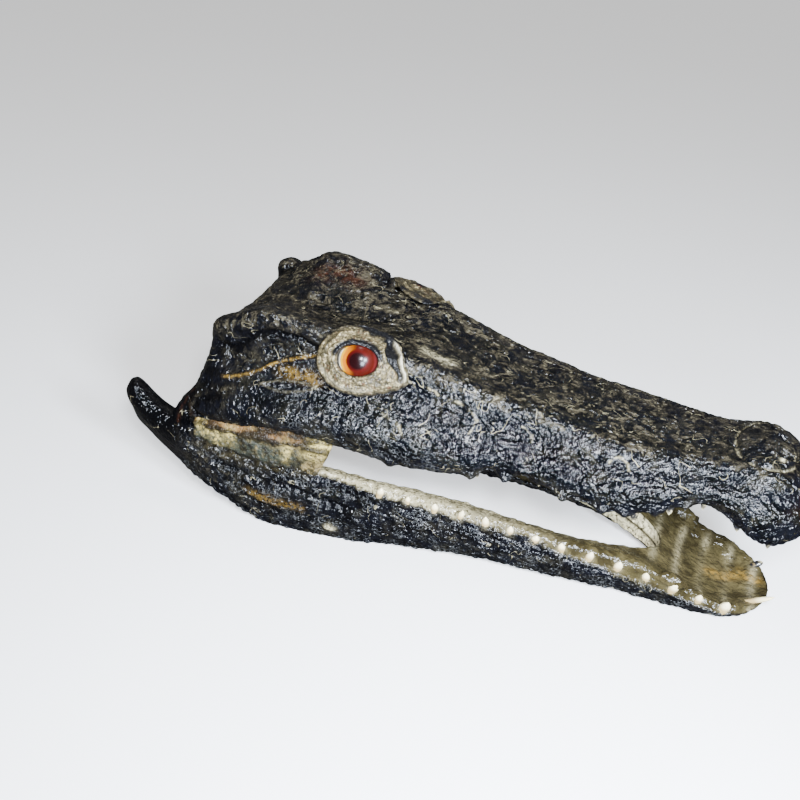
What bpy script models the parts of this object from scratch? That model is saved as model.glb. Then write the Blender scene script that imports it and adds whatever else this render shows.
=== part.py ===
"""Preserved alligator head, mouth held open, resting on its lower jaw.

Metres, +Z up, +X towards the snout.  The shapes are drawn in millimetres in
the skull's own frame (x = 0 at the back edge of the skull roof, z = 0 on the
upper lip), the jaw is swung open about its hinge, and the whole head is then
laid on the table.
"""
import math

import bmesh
import bpy
import numpy as np
from mathutils import Matrix, Vector

for old in list(bpy.data.objects):
    bpy.data.objects.remove(old, do_unlink=True)

MM = 0.001
GAP = 0.3                # parting gap between neighbours
GAPE = 8.6               # degrees the lower jaw is swung open
HINGE = (-23.0, 0.0)     # x and z of the jaw hinge
REST_PITCH = 2.43        # degrees the upper head is tipped nose-up at rest
FLAT_ENOUGH = 0.035      # radians within which small facets are joined
FLAT_LIDS = 0.012        # the same, where the folded lids lie close to the brow
FLAT_DEPTH = 1.0         # how much the resting flats take off the jaw

# ---------------------------------------------------------------- outlines
# stations of the upper head: back, roof, ear, brow, cheek bulge, saddle,
# front tooth bulge, pinch behind the nose, nose, tip
HEAD_X = (-32, 10, 45, 80, 122, 170, 238, 272, 303, 331)
HEAD_BACK = HEAD_X[0]
HEAD_TIP = HEAD_X[-1]
NOSE_ROUND = 34
BACK_ROUND = 9
BACK_LEAN = 15           # the roof overhangs forward of the jaw joint
HORN_AT = (-9, 46, 66.5)  # rounded knob at the left rear corner of the roof
HORN_REACH = (8, 8, 8)
NAPE_AT = (-31, 57, 16)  # stub of neck skin standing behind each cheek
NAPE_REACH = (6.5, 4, 9)
LIP_HALF = (63, 68, 67, 62, 57, 49, 48.5, 37, 42, 40)
LIP_Z = (9, 14, 16, 9.5, 4, 6, 1, 8, -6, -5)
SIDE_HALF = (62, 70, 71, 66, 59, 50, 49, 39, 42.5, 41)
SIDE_Z = (22, 25, 27, 26, 19, 17, 13, 17, 10, 8)
EDGE_HALF = (46, 52, 51, 45, 38, 34, 31, 26, 28, 26)
EDGE_Z = (64, 81, 78, 69, 56, 43, 31, 29, 29, 19)
HOLLOW = (3, 6, 9, 7, 2, 1, 0, 0, 0, 0)   # ear and orbit recess above the cheek
ROOF_Z = (62, 67, 64, 62, 54.5, 43, 33, 30, 33.5, 23)
PALATE_RISE = 10

# stations of the lower jaw, closed: heel, neck, joint, angle, mouth corner,
# middle, front, arch, chin, tip
JAW_X = (-76, -54, -22, 32, 80, 140, 200, 257, 290, 322.5)
JAW_BACK = JAW_X[0]
JAW_TIP = JAW_X[-1]
CHIN_ROUND = 32
HEEL_ROUND = 12
JAW_HALF = (57, 61, 66, 66, 60, 51.5, 44.5, 37.5, 34.5, 31)
JAW_THICK = (13, 16, 18, 19, 17, 15, 13, 16, 17, 17)
JAW_TOP = (18, 4, 3.5, 2.5, 0.5, 0.3, -0.5, -2, -8.5, -11)
JAW_LOW = (-10, -21, -34, -50, -45.5, -34, -27.5, -25, -23.5, -16)
JAW_GUM = (0, 0, 0, 0, -1, -2, -3.5, -8, -12, -14)   # level where the teeth stand
ARCH_X = 257             # where the two jaw arms meet
ARCH_LENGTH = 48
TRAY_DIP = 5             # hollow behind the front teeth
ARM_BEVEL = 0.22         # share of an arm's depth that its lower inner edge is cut back
LEFT_HEEL = -58.5        # the left lobe behind the joint is broken off here
SWELL_AT = (267, 34.5, -3)   # swollen gum round the largest lower tooth
SWELL_REACH = (8, 5.5, 7.5)

# ------------------------------------------------------------------- eyes
EYE_AT = (78, 43.2, 57.8)
EYE_R = 12.5
EYE_LOOK = (0.12, 0.90, 0.40)
LID_REACH = (24.5, 19.5, 9)  # half length, half height and depth of the lid dome
LID_SEAT = 2.5           # how far the dome's middle stands out of the eye's middle
LID_OPEN = (11.5, 8.2)   # half length and half height of the eye opening
LID_GAP = 0.4            # parting gap round a lid
LID_LEVEL = 2.2          # the lids stand this far over the brow's edge before they fold
LID_SINK = 0.7           # share by which a lid's top is folded down on the roof
LID_SLIDE = 1.7          # how far it slides inward for each millimetre it sinks

# ------------------------------------------------------------------ teeth
LOWER_TEETH = 15
UPPER_TEETH = 14
CANINE = 12              # the largest lower tooth, counted from the back
TOOTH_SIDES = 4

# ------------------------------------------------------- parting positions
NOSE_CUT = 284
SNOUT_CUT = 110
ROOF_HALF = 25
CHEEK_Z = 34
CHIN_CUT = 211
HEEL_CUT = -41
CORNER_BACK = -20
CORNER_FRONT = 66

COLOURS = {
    "hide": (0.045, 0.040, 0.032, 1),
    "dark": (0.020, 0.019, 0.018, 1),
    "tan": (0.42, 0.33, 0.20, 1),
    "lid": (0.30, 0.27, 0.20, 1),
    "eye": (0.75, 0.33, 0.05, 1),
}


def collection(name):
    made = bpy.data.collections.new(name)
    bpy.context.scene.collection.children.link(made)
    return made


PARTS = collection("preserved_alligator_head")
CUTTERS = collection("cutters")


def material(name, kind):
    made = bpy.data.materials.new(name)
    made.use_nodes = True
    shader = made.node_tree.nodes["Principled BSDF"]
    shader.inputs["Base Color"].default_value = COLOURS[kind]
    shader.inputs["Roughness"].default_value = 0.3
    return made


def outline(stations, values):
    """A smooth curve that passes through one value at each station."""
    x = np.array(stations, float)
    y = np.array(values, float)
    step = np.diff(x)
    slope = np.diff(y) / step
    bend = np.empty(len(x))
    bend[0] = slope[0]
    bend[-1] = slope[-1]
    bend[1:-1] = (slope[:-1] * step[1:] + slope[1:] * step[:-1]) / (step[:-1] + step[1:])

    def value(at):
        at = np.asarray(at, float)
        i = np.clip(np.searchsorted(x, at) - 1, 0, len(x) - 2)
        s = np.clip((at - x[i]) / step[i], 0, 1)
        rise = s * s * (3 - 2 * s)
        lead = step[i] * (bend[i] * s * (1 - s) ** 2 - bend[i + 1] * s * s * (1 - s))
        return y[i] + (y[i + 1] - y[i]) * rise + lead

    return value


def through(points, each, closed=False):
    """Catmull-Rom through the corner points of a section, each a (S, 2) array."""
    count = len(points)
    spans = count if closed else count - 1
    rows = []
    for k in range(spans):
        if closed:
            a, b, c, d = (points[(k + m) % count] for m in (-1, 0, 1, 2))
        else:
            a = points[max(k - 1, 0)]
            b = points[k]
            c = points[k + 1]
            d = points[min(k + 2, count - 1)]
        for j in range(each):
            s = j / each
            rows.append(0.5 * (2 * b + (c - a) * s + (2 * a - 5 * b + 4 * c - d) * s ** 2
                               + (3 * b - a - 3 * c + d) * s ** 3))
    if not closed:
        rows.append(points[-1])
    return np.stack(rows, 1)


def loft(name, rings):
    """Skin a stack of closed rings, (stations, points, 3) in mm, with flat ends."""
    stations, around = rings.shape[:2]
    mesh = bmesh.new()
    verts = [[mesh.verts.new(Vector(p) * MM) for p in ring] for ring in rings]
    for i in range(stations - 1):
        for j in range(around):
            k = (j + 1) % around
            mesh.faces.new((verts[i][j], verts[i][k], verts[i + 1][k], verts[i + 1][j]))
    mesh.faces.new(verts[0])
    mesh.faces.new(verts[-1])
    return finish(name, mesh)


def finish(name, mesh, merge=0.00002):
    bmesh.ops.remove_doubles(mesh, verts=mesh.verts, dist=merge)
    bmesh.ops.dissolve_degenerate(mesh, edges=mesh.edges, dist=merge)
    bmesh.ops.recalc_face_normals(mesh, faces=mesh.faces)
    data = bpy.data.meshes.new(name)
    mesh.to_mesh(data)
    mesh.free()
    made = bpy.data.objects.new(name, data)
    CUTTERS.objects.link(made)
    made.hide_render = True
    made.display_type = "WIRE"
    return made


def box(name, low, high):
    mesh = bmesh.new()
    bmesh.ops.create_cube(mesh, size=1)
    size = [(b - a) * MM for a, b in zip(low, high)]
    middle = [(a + b) * MM / 2 for a, b in zip(low, high)]
    bmesh.ops.transform(mesh, verts=mesh.verts,
                        matrix=Matrix.Translation(middle) @ Matrix.Diagonal((*size, 1)))
    return finish(name, mesh)


def ellipsoid(name, frame, radii, rows=10, around=16):
    mesh = bmesh.new()
    bmesh.ops.create_uvsphere(mesh, u_segments=around, v_segments=rows, radius=1)
    scale = Matrix.Diagonal([r * MM for r in radii] + [1])
    bmesh.ops.transform(mesh, verts=mesh.verts, matrix=frame @ scale)
    return finish(name, mesh)


def copied(source, name, shift=(0, 0, 0)):
    data = source.data.copy()
    data.transform(Matrix.Translation(Vector(shift) * MM))
    made = bpy.data.objects.new(name, data)
    CUTTERS.objects.link(made)
    made.hide_render = True
    made.display_type = "WIRE"
    return made


def mirrored(source, name):
    made = copied(source, name)
    made.data.transform(Matrix.Diagonal((1, -1, 1, 1)))
    made.data.flip_normals()
    return made


def combine(target, others, operation):
    """Boolean the others into the target, one after another."""
    for other in others:
        tool = target.modifiers.new(operation, "BOOLEAN")
        tool.operation = operation
        tool.solver = "EXACT"
        tool.object = other
        graph = bpy.context.evaluated_depsgraph_get()
        result = bpy.data.meshes.new_from_object(target.evaluated_get(graph))
        target.modifiers.clear()
        target.data = result
    return target


def part(name, body, kind, smooth=False, flat=FLAT_ENOUGH):
    """Keep the body as a named node of the head."""
    mesh = bmesh.new()
    mesh.from_mesh(body.data)
    bmesh.ops.remove_doubles(mesh, verts=mesh.verts, dist=0.000002)
    bmesh.ops.dissolve_limit(mesh, angle_limit=flat, verts=mesh.verts, edges=mesh.edges)
    bmesh.ops.triangulate(mesh, faces=mesh.faces)
    bmesh.ops.recalc_face_normals(mesh, faces=mesh.faces)
    data = bpy.data.meshes.new(name)
    mesh.to_mesh(data)
    mesh.free()
    made = bpy.data.objects.new(name, data)
    data.materials.append(material(name + "_finish", kind))
    for face in data.polygons:
        face.use_smooth = smooth
    PARTS.objects.link(made)
    return made


# ------------------------------------------------------------- upper head
head = {key: outline(HEAD_X, values) for key, values in (
    ("lip_half", LIP_HALF), ("lip_z", LIP_Z), ("side_half", SIDE_HALF),
    ("side_z", SIDE_Z), ("edge_half", EDGE_HALF), ("edge_z", EDGE_Z),
    ("roof_z", ROOF_Z), ("hollow", HOLLOW))}


def rounded(start, length, steps, forward, reach=0.93):
    """Stations and shrink factors of a quarter-round end."""
    turn = np.linspace(0, math.pi / 2 * reach, steps)
    sign = 1 if forward else -1
    return start + sign * length * np.sin(turn), np.cos(turn)


def upper_rings(steps=25, each=2):
    back, shrink_back = rounded(HEAD_BACK + BACK_ROUND, BACK_ROUND, 4, False)
    nose, shrink_nose = rounded(HEAD_TIP - NOSE_ROUND, NOSE_ROUND, 8, True)
    body = np.linspace(HEAD_BACK + BACK_ROUND, HEAD_TIP - NOSE_ROUND, steps)[1:-1]
    x = np.concatenate([back[::-1], body, nose])
    shrink = np.concatenate([shrink_back[::-1], np.ones(len(body)), shrink_nose])
    wide = np.where(x < 0, shrink ** 0.4, shrink ** 0.9)
    tall = np.where(x < 0, shrink ** 0.4, shrink ** 0.6)
    at = {key: value(x) for key, value in head.items()}
    rise = PALATE_RISE * np.where(x < 0, 1, shrink ** 1.5)
    centre = np.where(x < 0, 34, 12)

    def corner(y, z):
        return np.stack([y * wide, centre + (z - centre) * tall], -1)

    zero = 0 * x
    half = through([
        corner(zero, at["roof_z"]),
        corner(at["edge_half"] * 0.55, at["roof_z"] * 0.4 + at["edge_z"] * 0.6),
        corner(at["edge_half"], at["edge_z"]),
        corner((at["edge_half"] + at["side_half"]) / 2 - at["hollow"],
               (at["edge_z"] + at["side_z"]) / 2),
        corner(at["side_half"], at["side_z"]),
        corner(at["lip_half"], at["lip_z"]),
        corner(at["lip_half"] - 5, at["lip_z"] - 0.5),
        corner(at["lip_half"] - 11, at["lip_z"] + rise * 0.5),
        corner(at["lip_half"] * 0.4, at["lip_z"] + rise * 0.9),
        corner(zero, at["lip_z"] + rise),
    ], each)
    other = half[:, -2:0:-1] * [-1, 1]
    section = np.concatenate([half, other], 1)
    fade = np.clip(1 - (x - HEAD_BACK) / 80, 0, 1)[:, None]
    lean = BACK_LEAN * (section[:, :, 1] - 10) / 50 * fade
    return np.concatenate([(x[:, None] + lean)[:, :, None], section], -1)


upper = loft("upper_head", upper_rings())

# ------------------------------------------------------------- lower jaw
jaw = {key: outline(JAW_X, values) for key, values in (
    ("half", JAW_HALF), ("thick", JAW_THICK), ("top", JAW_TOP), ("low", JAW_LOW),
    ("gum", JAW_GUM))}


def jaw_rings(steps=22, each=2):
    """Full-width sections of the jaw, before the throat is cut out between its arms."""
    heel, shrink_heel = rounded(JAW_BACK + HEEL_ROUND, HEEL_ROUND, 4, False, 0.8)
    tip, shrink_tip = rounded(JAW_TIP - CHIN_ROUND, CHIN_ROUND, 8, True)
    body = np.linspace(JAW_BACK + HEEL_ROUND, JAW_TIP - CHIN_ROUND, steps)[1:-1]
    x = np.concatenate([heel[::-1], body, tip])
    ends = np.concatenate([shrink_heel[::-1], np.ones(len(body) + len(tip))])
    tips = np.concatenate([np.ones(len(heel) + len(body)), shrink_tip])
    thick = jaw["thick"](x)
    outer = (jaw["half"](x) - thick * 0.5 * (1 - ends ** 0.6)) * tips ** 0.9
    inner = np.maximum(outer - thick - 2, 0.3 * outer)
    level = (jaw["top"](x) + jaw["low"](x)) / 2
    top = level + (jaw["top"](x) - level) * tips ** 0.6 * ends ** 0.7
    low = level + (jaw["low"](x) - level) * tips ** 0.6 * ends ** 0.7
    deep = top - low
    dip = TRAY_DIP * np.clip((x - ARCH_X + 20) / 40, 0, 1) * tips ** 1.6
    bevel = 0.06 + ARM_BEVEL * np.clip((ARCH_X - x) / 60, 0, 1)

    def corner(y, z):
        return np.stack([y, z], -1)

    zero = 0 * x
    half = through([
        corner(zero, top - deep * 0.12 - dip),
        corner(inner, top - deep * 0.10 - dip),
        corner(inner * 0.5 + outer * 0.5, top - dip * 0.6),
        corner(outer * 0.93, top),
        corner(outer, top - deep * 0.2),
        corner(outer + 0.5 * tips, low + deep * 0.5),
        corner(outer * 0.93, low + deep * 0.13),
        corner(inner * 0.4 + outer * 0.6, low),
        corner(inner, low + deep * bevel),
        corner(zero, low + deep * bevel),
    ], each)
    other = half[:, -2:0:-1] * [-1, 1]
    section = np.concatenate([half, other], 1)
    along = np.broadcast_to(x[:, None, None], section.shape[:2] + (1,))
    return np.concatenate([along, section], -1)


def throat(low=-90, high=60, steps=16):
    """The tongue-shaped space between the arms, as a tall prism."""
    turn = np.linspace(0, math.pi / 2, 10)
    arch = ARCH_X - ARCH_LENGTH * (1 - np.sin(turn))
    x = np.concatenate([np.linspace(JAW_BACK - 20, ARCH_X - ARCH_LENGTH, steps)[:-1], arch])
    along = np.clip((ARCH_X - x) / ARCH_LENGTH, 0, 1)
    spread = (1 - (1 - along) ** 2.2) ** (1 / 2.2)
    y = (jaw["half"](x) - jaw["thick"](x)) * spread
    plan = np.concatenate([np.stack([x, y], 1), np.stack([x, -y], 1)[-2::-1]])
    mesh = bmesh.new()
    rim = [mesh.verts.new(Vector((a, b, low)) * MM) for a, b in plan]
    floor = mesh.faces.new(rim)
    raised = bmesh.ops.extrude_face_region(mesh, geom=[floor])
    lifted = [v for v in raised["geom"] if isinstance(v, bmesh.types.BMVert)]
    bmesh.ops.translate(mesh, verts=lifted, vec=(0, 0, (high - low) * MM))
    return finish("throat", mesh)


lower = loft("lower_jaw", jaw_rings())
missing = box("missing_heel", (JAW_BACK - 20, 1, -80), (LEFT_HEEL, 120, 80))
combine(lower, [throat(), missing], "DIFFERENCE")


def knobs(name, at, reach, sides=(1, -1)):
    """A small swelling, on both sides of the head or on the left alone."""
    made = []
    for side in sides:
        spot = Matrix.Translation(Vector((at[0], at[1] * side, at[2])) * MM)
        made.append(ellipsoid(f"{name}_{side}", spot, reach, 6, 9))
    return made


combine(lower, knobs("swelling", SWELL_AT, SWELL_REACH), "UNION")
combine(upper, knobs("nape", NAPE_AT, NAPE_REACH), "UNION")

# ------------------------------------------------------------------ teeth


def tooth(name, at, height, lean, width):
    """A small faceted cone whose root is sunk in the gum."""
    mesh = bmesh.new()
    up = 1 if height > 0 else -1
    rings = []
    for share, swell in ((-0.9, 1.0), (0.3, 1.0)):
        middle = Vector((at[0] + lean[0] * share * abs(height),
                         at[1] + lean[1] * share * abs(height), at[2] + share * height))
        ring = []
        for k in range(TOOTH_SIDES):
            turn = 2 * math.pi * (k + 0.4) / TOOTH_SIDES
            offset = Vector((math.cos(turn), math.sin(turn), 0)) * width * swell / 2
            ring.append(mesh.verts.new((middle + offset) * MM))
        rings.append(ring)
    for a, b in zip(rings, rings[1:]):
        for k in range(TOOTH_SIDES):
            n = (k + 1) % TOOTH_SIDES
            mesh.faces.new((a[k], a[n], b[n], b[k]))
    mesh.faces.new(rings[0])
    point = mesh.verts.new(Vector((at[0] + lean[0] * abs(height), at[1] + lean[1] * abs(height),
                                   at[2] + up * abs(height))) * MM)
    for k in range(TOOTH_SIDES):
        mesh.faces.new((rings[-1][k], rings[-1][(k + 1) % TOOTH_SIDES], point))
    return finish(name, mesh)


def end_width(x, tip, length):
    """How much a rounded end has narrowed the head at x."""
    return (1 - max(0.0, (x - tip + length) / length) ** 2) ** 0.45


def lower_tooth(k):
    """Place, height, lean and width of lower tooth k, counted from the back."""
    share = k / (LOWER_TEETH - 1)
    x = 97 + 217 * share
    front = max(0.0, (x - 296) / 18)
    half = float(jaw["half"](x)) * end_width(x, JAW_TIP, CHIN_ROUND) * 0.97
    height = 5.0 + 1.5 * share
    if k in (CANINE - 1, LOWER_TEETH - 1):
        height = 8.5
    at = (x, half, float(jaw["gum"](x)))
    return at, height, (0.7 * front + 0.05, 0.30), 3.6 + 1.6 * share


def upper_tooth(k):
    """Place, height, lean and width of upper tooth k, counted from the back."""
    share = k / (UPPER_TEETH - 1)
    x = 97 + 227 * share
    half = float(head["lip_half"](x)) * end_width(x, HEAD_TIP, NOSE_ROUND) - 4.6
    swell = math.exp(-((x - 238) / 22) ** 2)
    notch = math.exp(-((x - 286) / 20) ** 2)
    at = (x, half, float(head["lip_z"](x)) + 1.5)
    return at, -(5.5 + 3.0 * swell + 4.0 * notch), (0.0, 0.02), 4.0 + 1.4 * swell


def tooth_row(place, count, name):
    row = []
    for k in range(count):
        at, height, lean, width = place(k)
        for side, label in ((1, "left"), (-1, "right")):
            spot = (at[0], at[1] * side, at[2])
            tilt = (lean[0], lean[1] * side)
            row.append(tooth(f"{name}_{label}_{k}", spot, height, tilt, width))
    return row


upper_teeth = tooth_row(upper_tooth, UPPER_TEETH, "upper_tooth")
lower_teeth = tooth_row(lower_tooth, LOWER_TEETH, "lower_tooth")

# ------------------------------------------------------- nostrils and orbits
NOSTRIL_AT = (306, 9, 36)
nostrils = []
for side in (1, -1):
    frame = Matrix.Translation(Vector((NOSTRIL_AT[0], NOSTRIL_AT[1] * side, NOSTRIL_AT[2])) * MM)
    nostrils.append(ellipsoid(f"nostril_{side}", frame, (4.5, 3.0, 5.0), 6, 10))
combine(upper, nostrils, "DIFFERENCE")


def eye_frame():
    """Axes of the right eye: along the lids, up the lids, out of the socket."""
    out = Vector((EYE_LOOK[0], -EYE_LOOK[1], EYE_LOOK[2])).normalized()
    along = Vector((0, 0, 1)).cross(out).normalized()
    over = out.cross(along)
    at = Vector((EYE_AT[0], -EYE_AT[1], EYE_AT[2])) * MM
    return Matrix.Translation(at) @ Matrix((along, over, out)).transposed().to_4x4()


def folded(lid):
    """The right lid's top, where it would stand over the brow, laid inward on the roof."""
    mesh = bmesh.new()
    mesh.from_mesh(lid.data)
    for vertex in mesh.verts:
        over = vertex.co.z / MM - float(head["edge_z"](vertex.co.x / MM)) - LID_LEVEL
        sink = LID_SINK * max(0.0, over) * MM
        vertex.co += Vector((0, LID_SLIDE * sink, -sink))
    bmesh.ops.triangulate(mesh, faces=mesh.faces)
    mesh.to_mesh(lid.data)
    mesh.free()
    return lid


# the right side is shaped here and the left side is its mirror image
eye_axes = eye_frame()
seat = eye_axes @ Matrix.Translation((0, 0, LID_SEAT * MM))
lids = folded(ellipsoid("lids", seat, LID_REACH, 8, 18))
orbit = copied(lids, "orbit")
grown = [vertex.co + vertex.normal * LID_GAP * MM for vertex in orbit.data.vertices]
orbit.data.vertices.foreach_set("co", np.ravel(grown))
orbit.data.update()
combine(upper, [orbit, ellipsoid("socket", eye_axes, [EYE_R + GAP] * 3, 10, 16)], "DIFFERENCE")
opening = ellipsoid("opening", eye_axes @ Matrix.Translation((0, 0, 14 * MM)), (*LID_OPEN, 12), 8, 16)
combine(lids, [ellipsoid("ball", eye_axes, [EYE_R + GAP] * 3, 10, 16), opening], "DIFFERENCE")
globe = ellipsoid("globe", eye_axes, [EYE_R] * 3, 10, 16)

# ---------------------------------------------------------- mouth corners
swing = (Matrix.Translation((HINGE[0] * MM, 0, HINGE[1] * MM))
         @ Matrix.Rotation(math.radians(GAPE), 4, "Y")
         @ Matrix.Translation((-HINGE[0] * MM, 0, -HINGE[1] * MM)))


def corner_rings(steps=12):
    """A web of dried skin that fills the back of the gape, 4 mm thick."""
    x = np.linspace(CORNER_BACK, CORNER_FRONT, steps)
    top = head["lip_z"](x) + 3
    low = jaw["top"](x) - (x - HINGE[0]) * math.sin(math.radians(GAPE)) - 4
    half = head["lip_half"](x) - 7
    rings = []
    for y, z in ((-2, 0), (2, 0), (2.8, 0.5), (2, 1), (-2, 1), (-1.2, 0.5)):
        rings.append(np.stack([x, half + y, top + (low - top) * z], -1))
    return np.stack(rings, 1)


corners = {"left": loft("corner_left", corner_rings())}
corners["right"] = mirrored(corners["left"], "corner_right")
opened = copied(lower, "opened_jaw", (0, 0, GAP))
opened.data.transform(swing)
raised = copied(upper, "raised_head", (0, 0, -GAP))
for web in corners.values():
    combine(web, [raised, opened], "DIFFERENCE")

combine(upper, upper_teeth, "UNION")
combine(lower, lower_teeth, "UNION")

# ----------------------------------------------------------- part the head
FAR = 400
HALF_GAP = GAP / 2


def parted(source, name, low, high):
    """The piece of a body inside one box of the parting grid."""
    grown = box(name + "_field", [a + HALF_GAP for a in low], [b - HALF_GAP for b in high])
    return combine(copied(source, name + "_body"), [grown], "INTERSECT")


part("nose", parted(upper, "nose", (NOSE_CUT, -FAR, -FAR), (FAR, FAR, FAR)), "hide")
part("snout", parted(upper, "snout", (SNOUT_CUT, -FAR, -FAR), (NOSE_CUT, FAR, FAR)), "hide")
part("skull_roof", parted(upper, "roof", (-FAR, -ROOF_HALF, CHEEK_Z),
                          (SNOUT_CUT, ROOF_HALF, FAR)), "hide")
part("braincase", parted(upper, "brain", (-FAR, -ROOF_HALF, -FAR),
                         (SNOUT_CUT, ROOF_HALF, CHEEK_Z)), "dark")
brow = parted(upper, "brow_right", (-FAR, -FAR, CHEEK_Z), (SNOUT_CUT, -ROOF_HALF, FAR))
horn = knobs("horn", HORN_AT, HORN_REACH, (1,))
part("brow_right", brow, "hide", flat=FLAT_LIDS)
brow = combine(mirrored(brow, "brow_left_body"), horn, "UNION")
part("brow_left", brow, "hide", flat=FLAT_LIDS)
for name, low, high in (("upper_lid", 0, 60), ("lower_lid", -60, 0)):
    field = box(f"{name}_field", (-60, low + HALF_GAP, -60), (60, high - HALF_GAP, 60))
    field.data.transform(eye_axes)
    lid = combine(copied(lids, f"{name}_right_body"), [field], "INTERSECT")
    part(f"{name}_right", lid, "lid", flat=FLAT_LIDS)
    part(f"{name}_left", mirrored(lid, f"{name}_left_body"), "lid", flat=FLAT_LIDS)
part("eye_right", globe, "eye", smooth=True)
part("eye_left", mirrored(globe, "globe_left"), "eye", smooth=True)
for side, label in ((-1, "right"), (1, "left")):
    near = sorted((ROOF_HALF * side, FAR * side))
    part(f"cheek_{label}", parted(upper, f"cheek_{label}", (-FAR, near[0], -FAR),
                                  (SNOUT_CUT, near[1], CHEEK_Z)), "hide")
    part(f"mouth_corner_{label}", corners[label], "tan")
    half = sorted((0, FAR * side))
    pieces = ((f"jaw_{label}", HEEL_CUT, CHIN_CUT, "hide"),
              (f"jaw_end_{label}", -FAR, HEEL_CUT, "dark"))
    for name, back, front, kind in pieces:
        body = parted(lower, name, (back, half[0], -FAR), (front, half[1], FAR))
        made = part(name, body, kind)
        made.data.transform(swing)
chin = part("chin", parted(lower, "chin", (CHIN_CUT, -FAR, -FAR), (FAR, FAR, FAR)), "hide")
chin.data.transform(swing)

# ------------------------------------------------------- lay it on the table
rest = Matrix.Rotation(-math.radians(REST_PITCH), 4, "Y")
for made in PARTS.objects:
    made.data.transform(rest)
low = min(v.co.z for made in PARTS.objects for v in made.data.vertices)
ends = [v.co.x for made in PARTS.objects for v in made.data.vertices]
sides = [v.co.y for made in PARTS.objects for v in made.data.vertices]
place = Matrix.Translation((-(max(ends) + min(ends)) / 2, -(max(sides) + min(sides)) / 2,
                            -low - FLAT_DEPTH * MM))
for made in PARTS.objects:
    made.data.transform(place)
table = box("table", (-FAR, -FAR, -60), (FAR, FAR, 0))
for name in ("jaw_right", "jaw_left", "chin"):
    made = bpy.data.objects[name]
    kept = made.data.materials[0]
    combine(made, [table], "DIFFERENCE")
    made.data.materials.clear()
    made.data.materials.append(kept)
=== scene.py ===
import math

import bpy
import numpy as np
from mathutils import Matrix, Vector


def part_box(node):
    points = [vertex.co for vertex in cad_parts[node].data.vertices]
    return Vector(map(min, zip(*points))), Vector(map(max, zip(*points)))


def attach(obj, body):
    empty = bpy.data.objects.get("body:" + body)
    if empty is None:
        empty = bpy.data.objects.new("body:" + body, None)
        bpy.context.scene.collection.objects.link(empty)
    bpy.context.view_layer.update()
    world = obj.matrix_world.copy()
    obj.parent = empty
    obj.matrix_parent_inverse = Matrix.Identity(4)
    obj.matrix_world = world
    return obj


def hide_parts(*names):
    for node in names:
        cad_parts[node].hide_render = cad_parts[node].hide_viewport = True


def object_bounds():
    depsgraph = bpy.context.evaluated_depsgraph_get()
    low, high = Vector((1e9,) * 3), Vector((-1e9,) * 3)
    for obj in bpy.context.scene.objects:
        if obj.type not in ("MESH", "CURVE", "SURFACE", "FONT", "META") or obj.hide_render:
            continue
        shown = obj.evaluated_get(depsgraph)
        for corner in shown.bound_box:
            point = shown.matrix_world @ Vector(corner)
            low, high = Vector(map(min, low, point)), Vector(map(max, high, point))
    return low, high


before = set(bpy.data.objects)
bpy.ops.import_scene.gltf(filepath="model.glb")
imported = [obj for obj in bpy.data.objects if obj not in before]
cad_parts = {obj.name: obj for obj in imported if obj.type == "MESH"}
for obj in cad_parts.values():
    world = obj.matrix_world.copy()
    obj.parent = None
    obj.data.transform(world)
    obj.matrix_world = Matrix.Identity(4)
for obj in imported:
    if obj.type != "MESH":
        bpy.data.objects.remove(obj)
cad_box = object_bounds()

# ---------------------------------------------------------------------------
# Hide of the upper head: alligator skin dried down on its skull and lacquered
# black.  One closed sleeve of sections, in millimetres: x from the roof's back
# edge to the snout tip, y to the animal's left, z up from the upper lip.
# ---------------------------------------------------------------------------
HEAD_X = (-32, 10, 45, 80, 122, 170, 238, 272, 303, 331)
LIP_HALF = (63, 68, 67, 62, 57, 49, 48.5, 37, 42, 40)
LIP_Z = (9, 14, 16, 9.5, 4, 6, 1, 8, -6, -5)
SIDE_HALF = (62, 70, 71, 66, 59, 50, 49, 39, 42.5, 41)
SIDE_Z = (22, 25, 27, 26, 19, 17, 13, 17, 10, 8)
EDGE_HALF = (46, 52, 51, 45, 38, 34, 31, 26, 28, 26)
EDGE_Z = (64, 81, 78, 69, 56, 43, 31, 29, 29, 19)
HOLLOW = (3, 6, 9, 7, 2, 1, 0, 0, 0, 0)
ROOF_Z = (62, 67, 64, 62, 54.5, 43, 33, 30, 33.5, 23)
PALATE_RISE = 10
BACK_ROUND, NOSE_ROUND, BACK_LEAN = 9, 34, 15
HIDE_UNDER_BOX, BOX_ROOM, BOX_SOFT = 0.5, 0.0002, 0.0015
FULL_PITCH, COLUMNS = 0.8, (34, 34, 34, 36, 24, 9, 8, 22, 12)
EYE_AT = (78, 43.2, 57.8)
NOSE_UP = math.radians(2.43)


def outline(stations, values):
    """Cubic through one value at each station; its slope there is the mean of
    the two neighbouring slopes, each weighted by the other's interval."""
    x, y = np.array(stations, float), np.array(values, float)
    step = np.diff(x)
    slope = np.diff(y) / step
    bend = np.concatenate([slope[:1], (slope[:-1] * step[1:] + slope[1:] * step[:-1])
                           / (step[:-1] + step[1:]), slope[-1:]])

    def value(at):
        at = np.asarray(at, float)
        i = np.clip(np.searchsorted(x, at) - 1, 0, len(x) - 2)
        s = np.clip((at - x[i]) / step[i], 0, 1)
        lead = step[i] * (bend[i] * s * (1 - s) ** 2 - bend[i + 1] * s * s * (1 - s))
        return y[i] + (y[i + 1] - y[i]) * s * s * (3 - 2 * s) + lead

    return value


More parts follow.
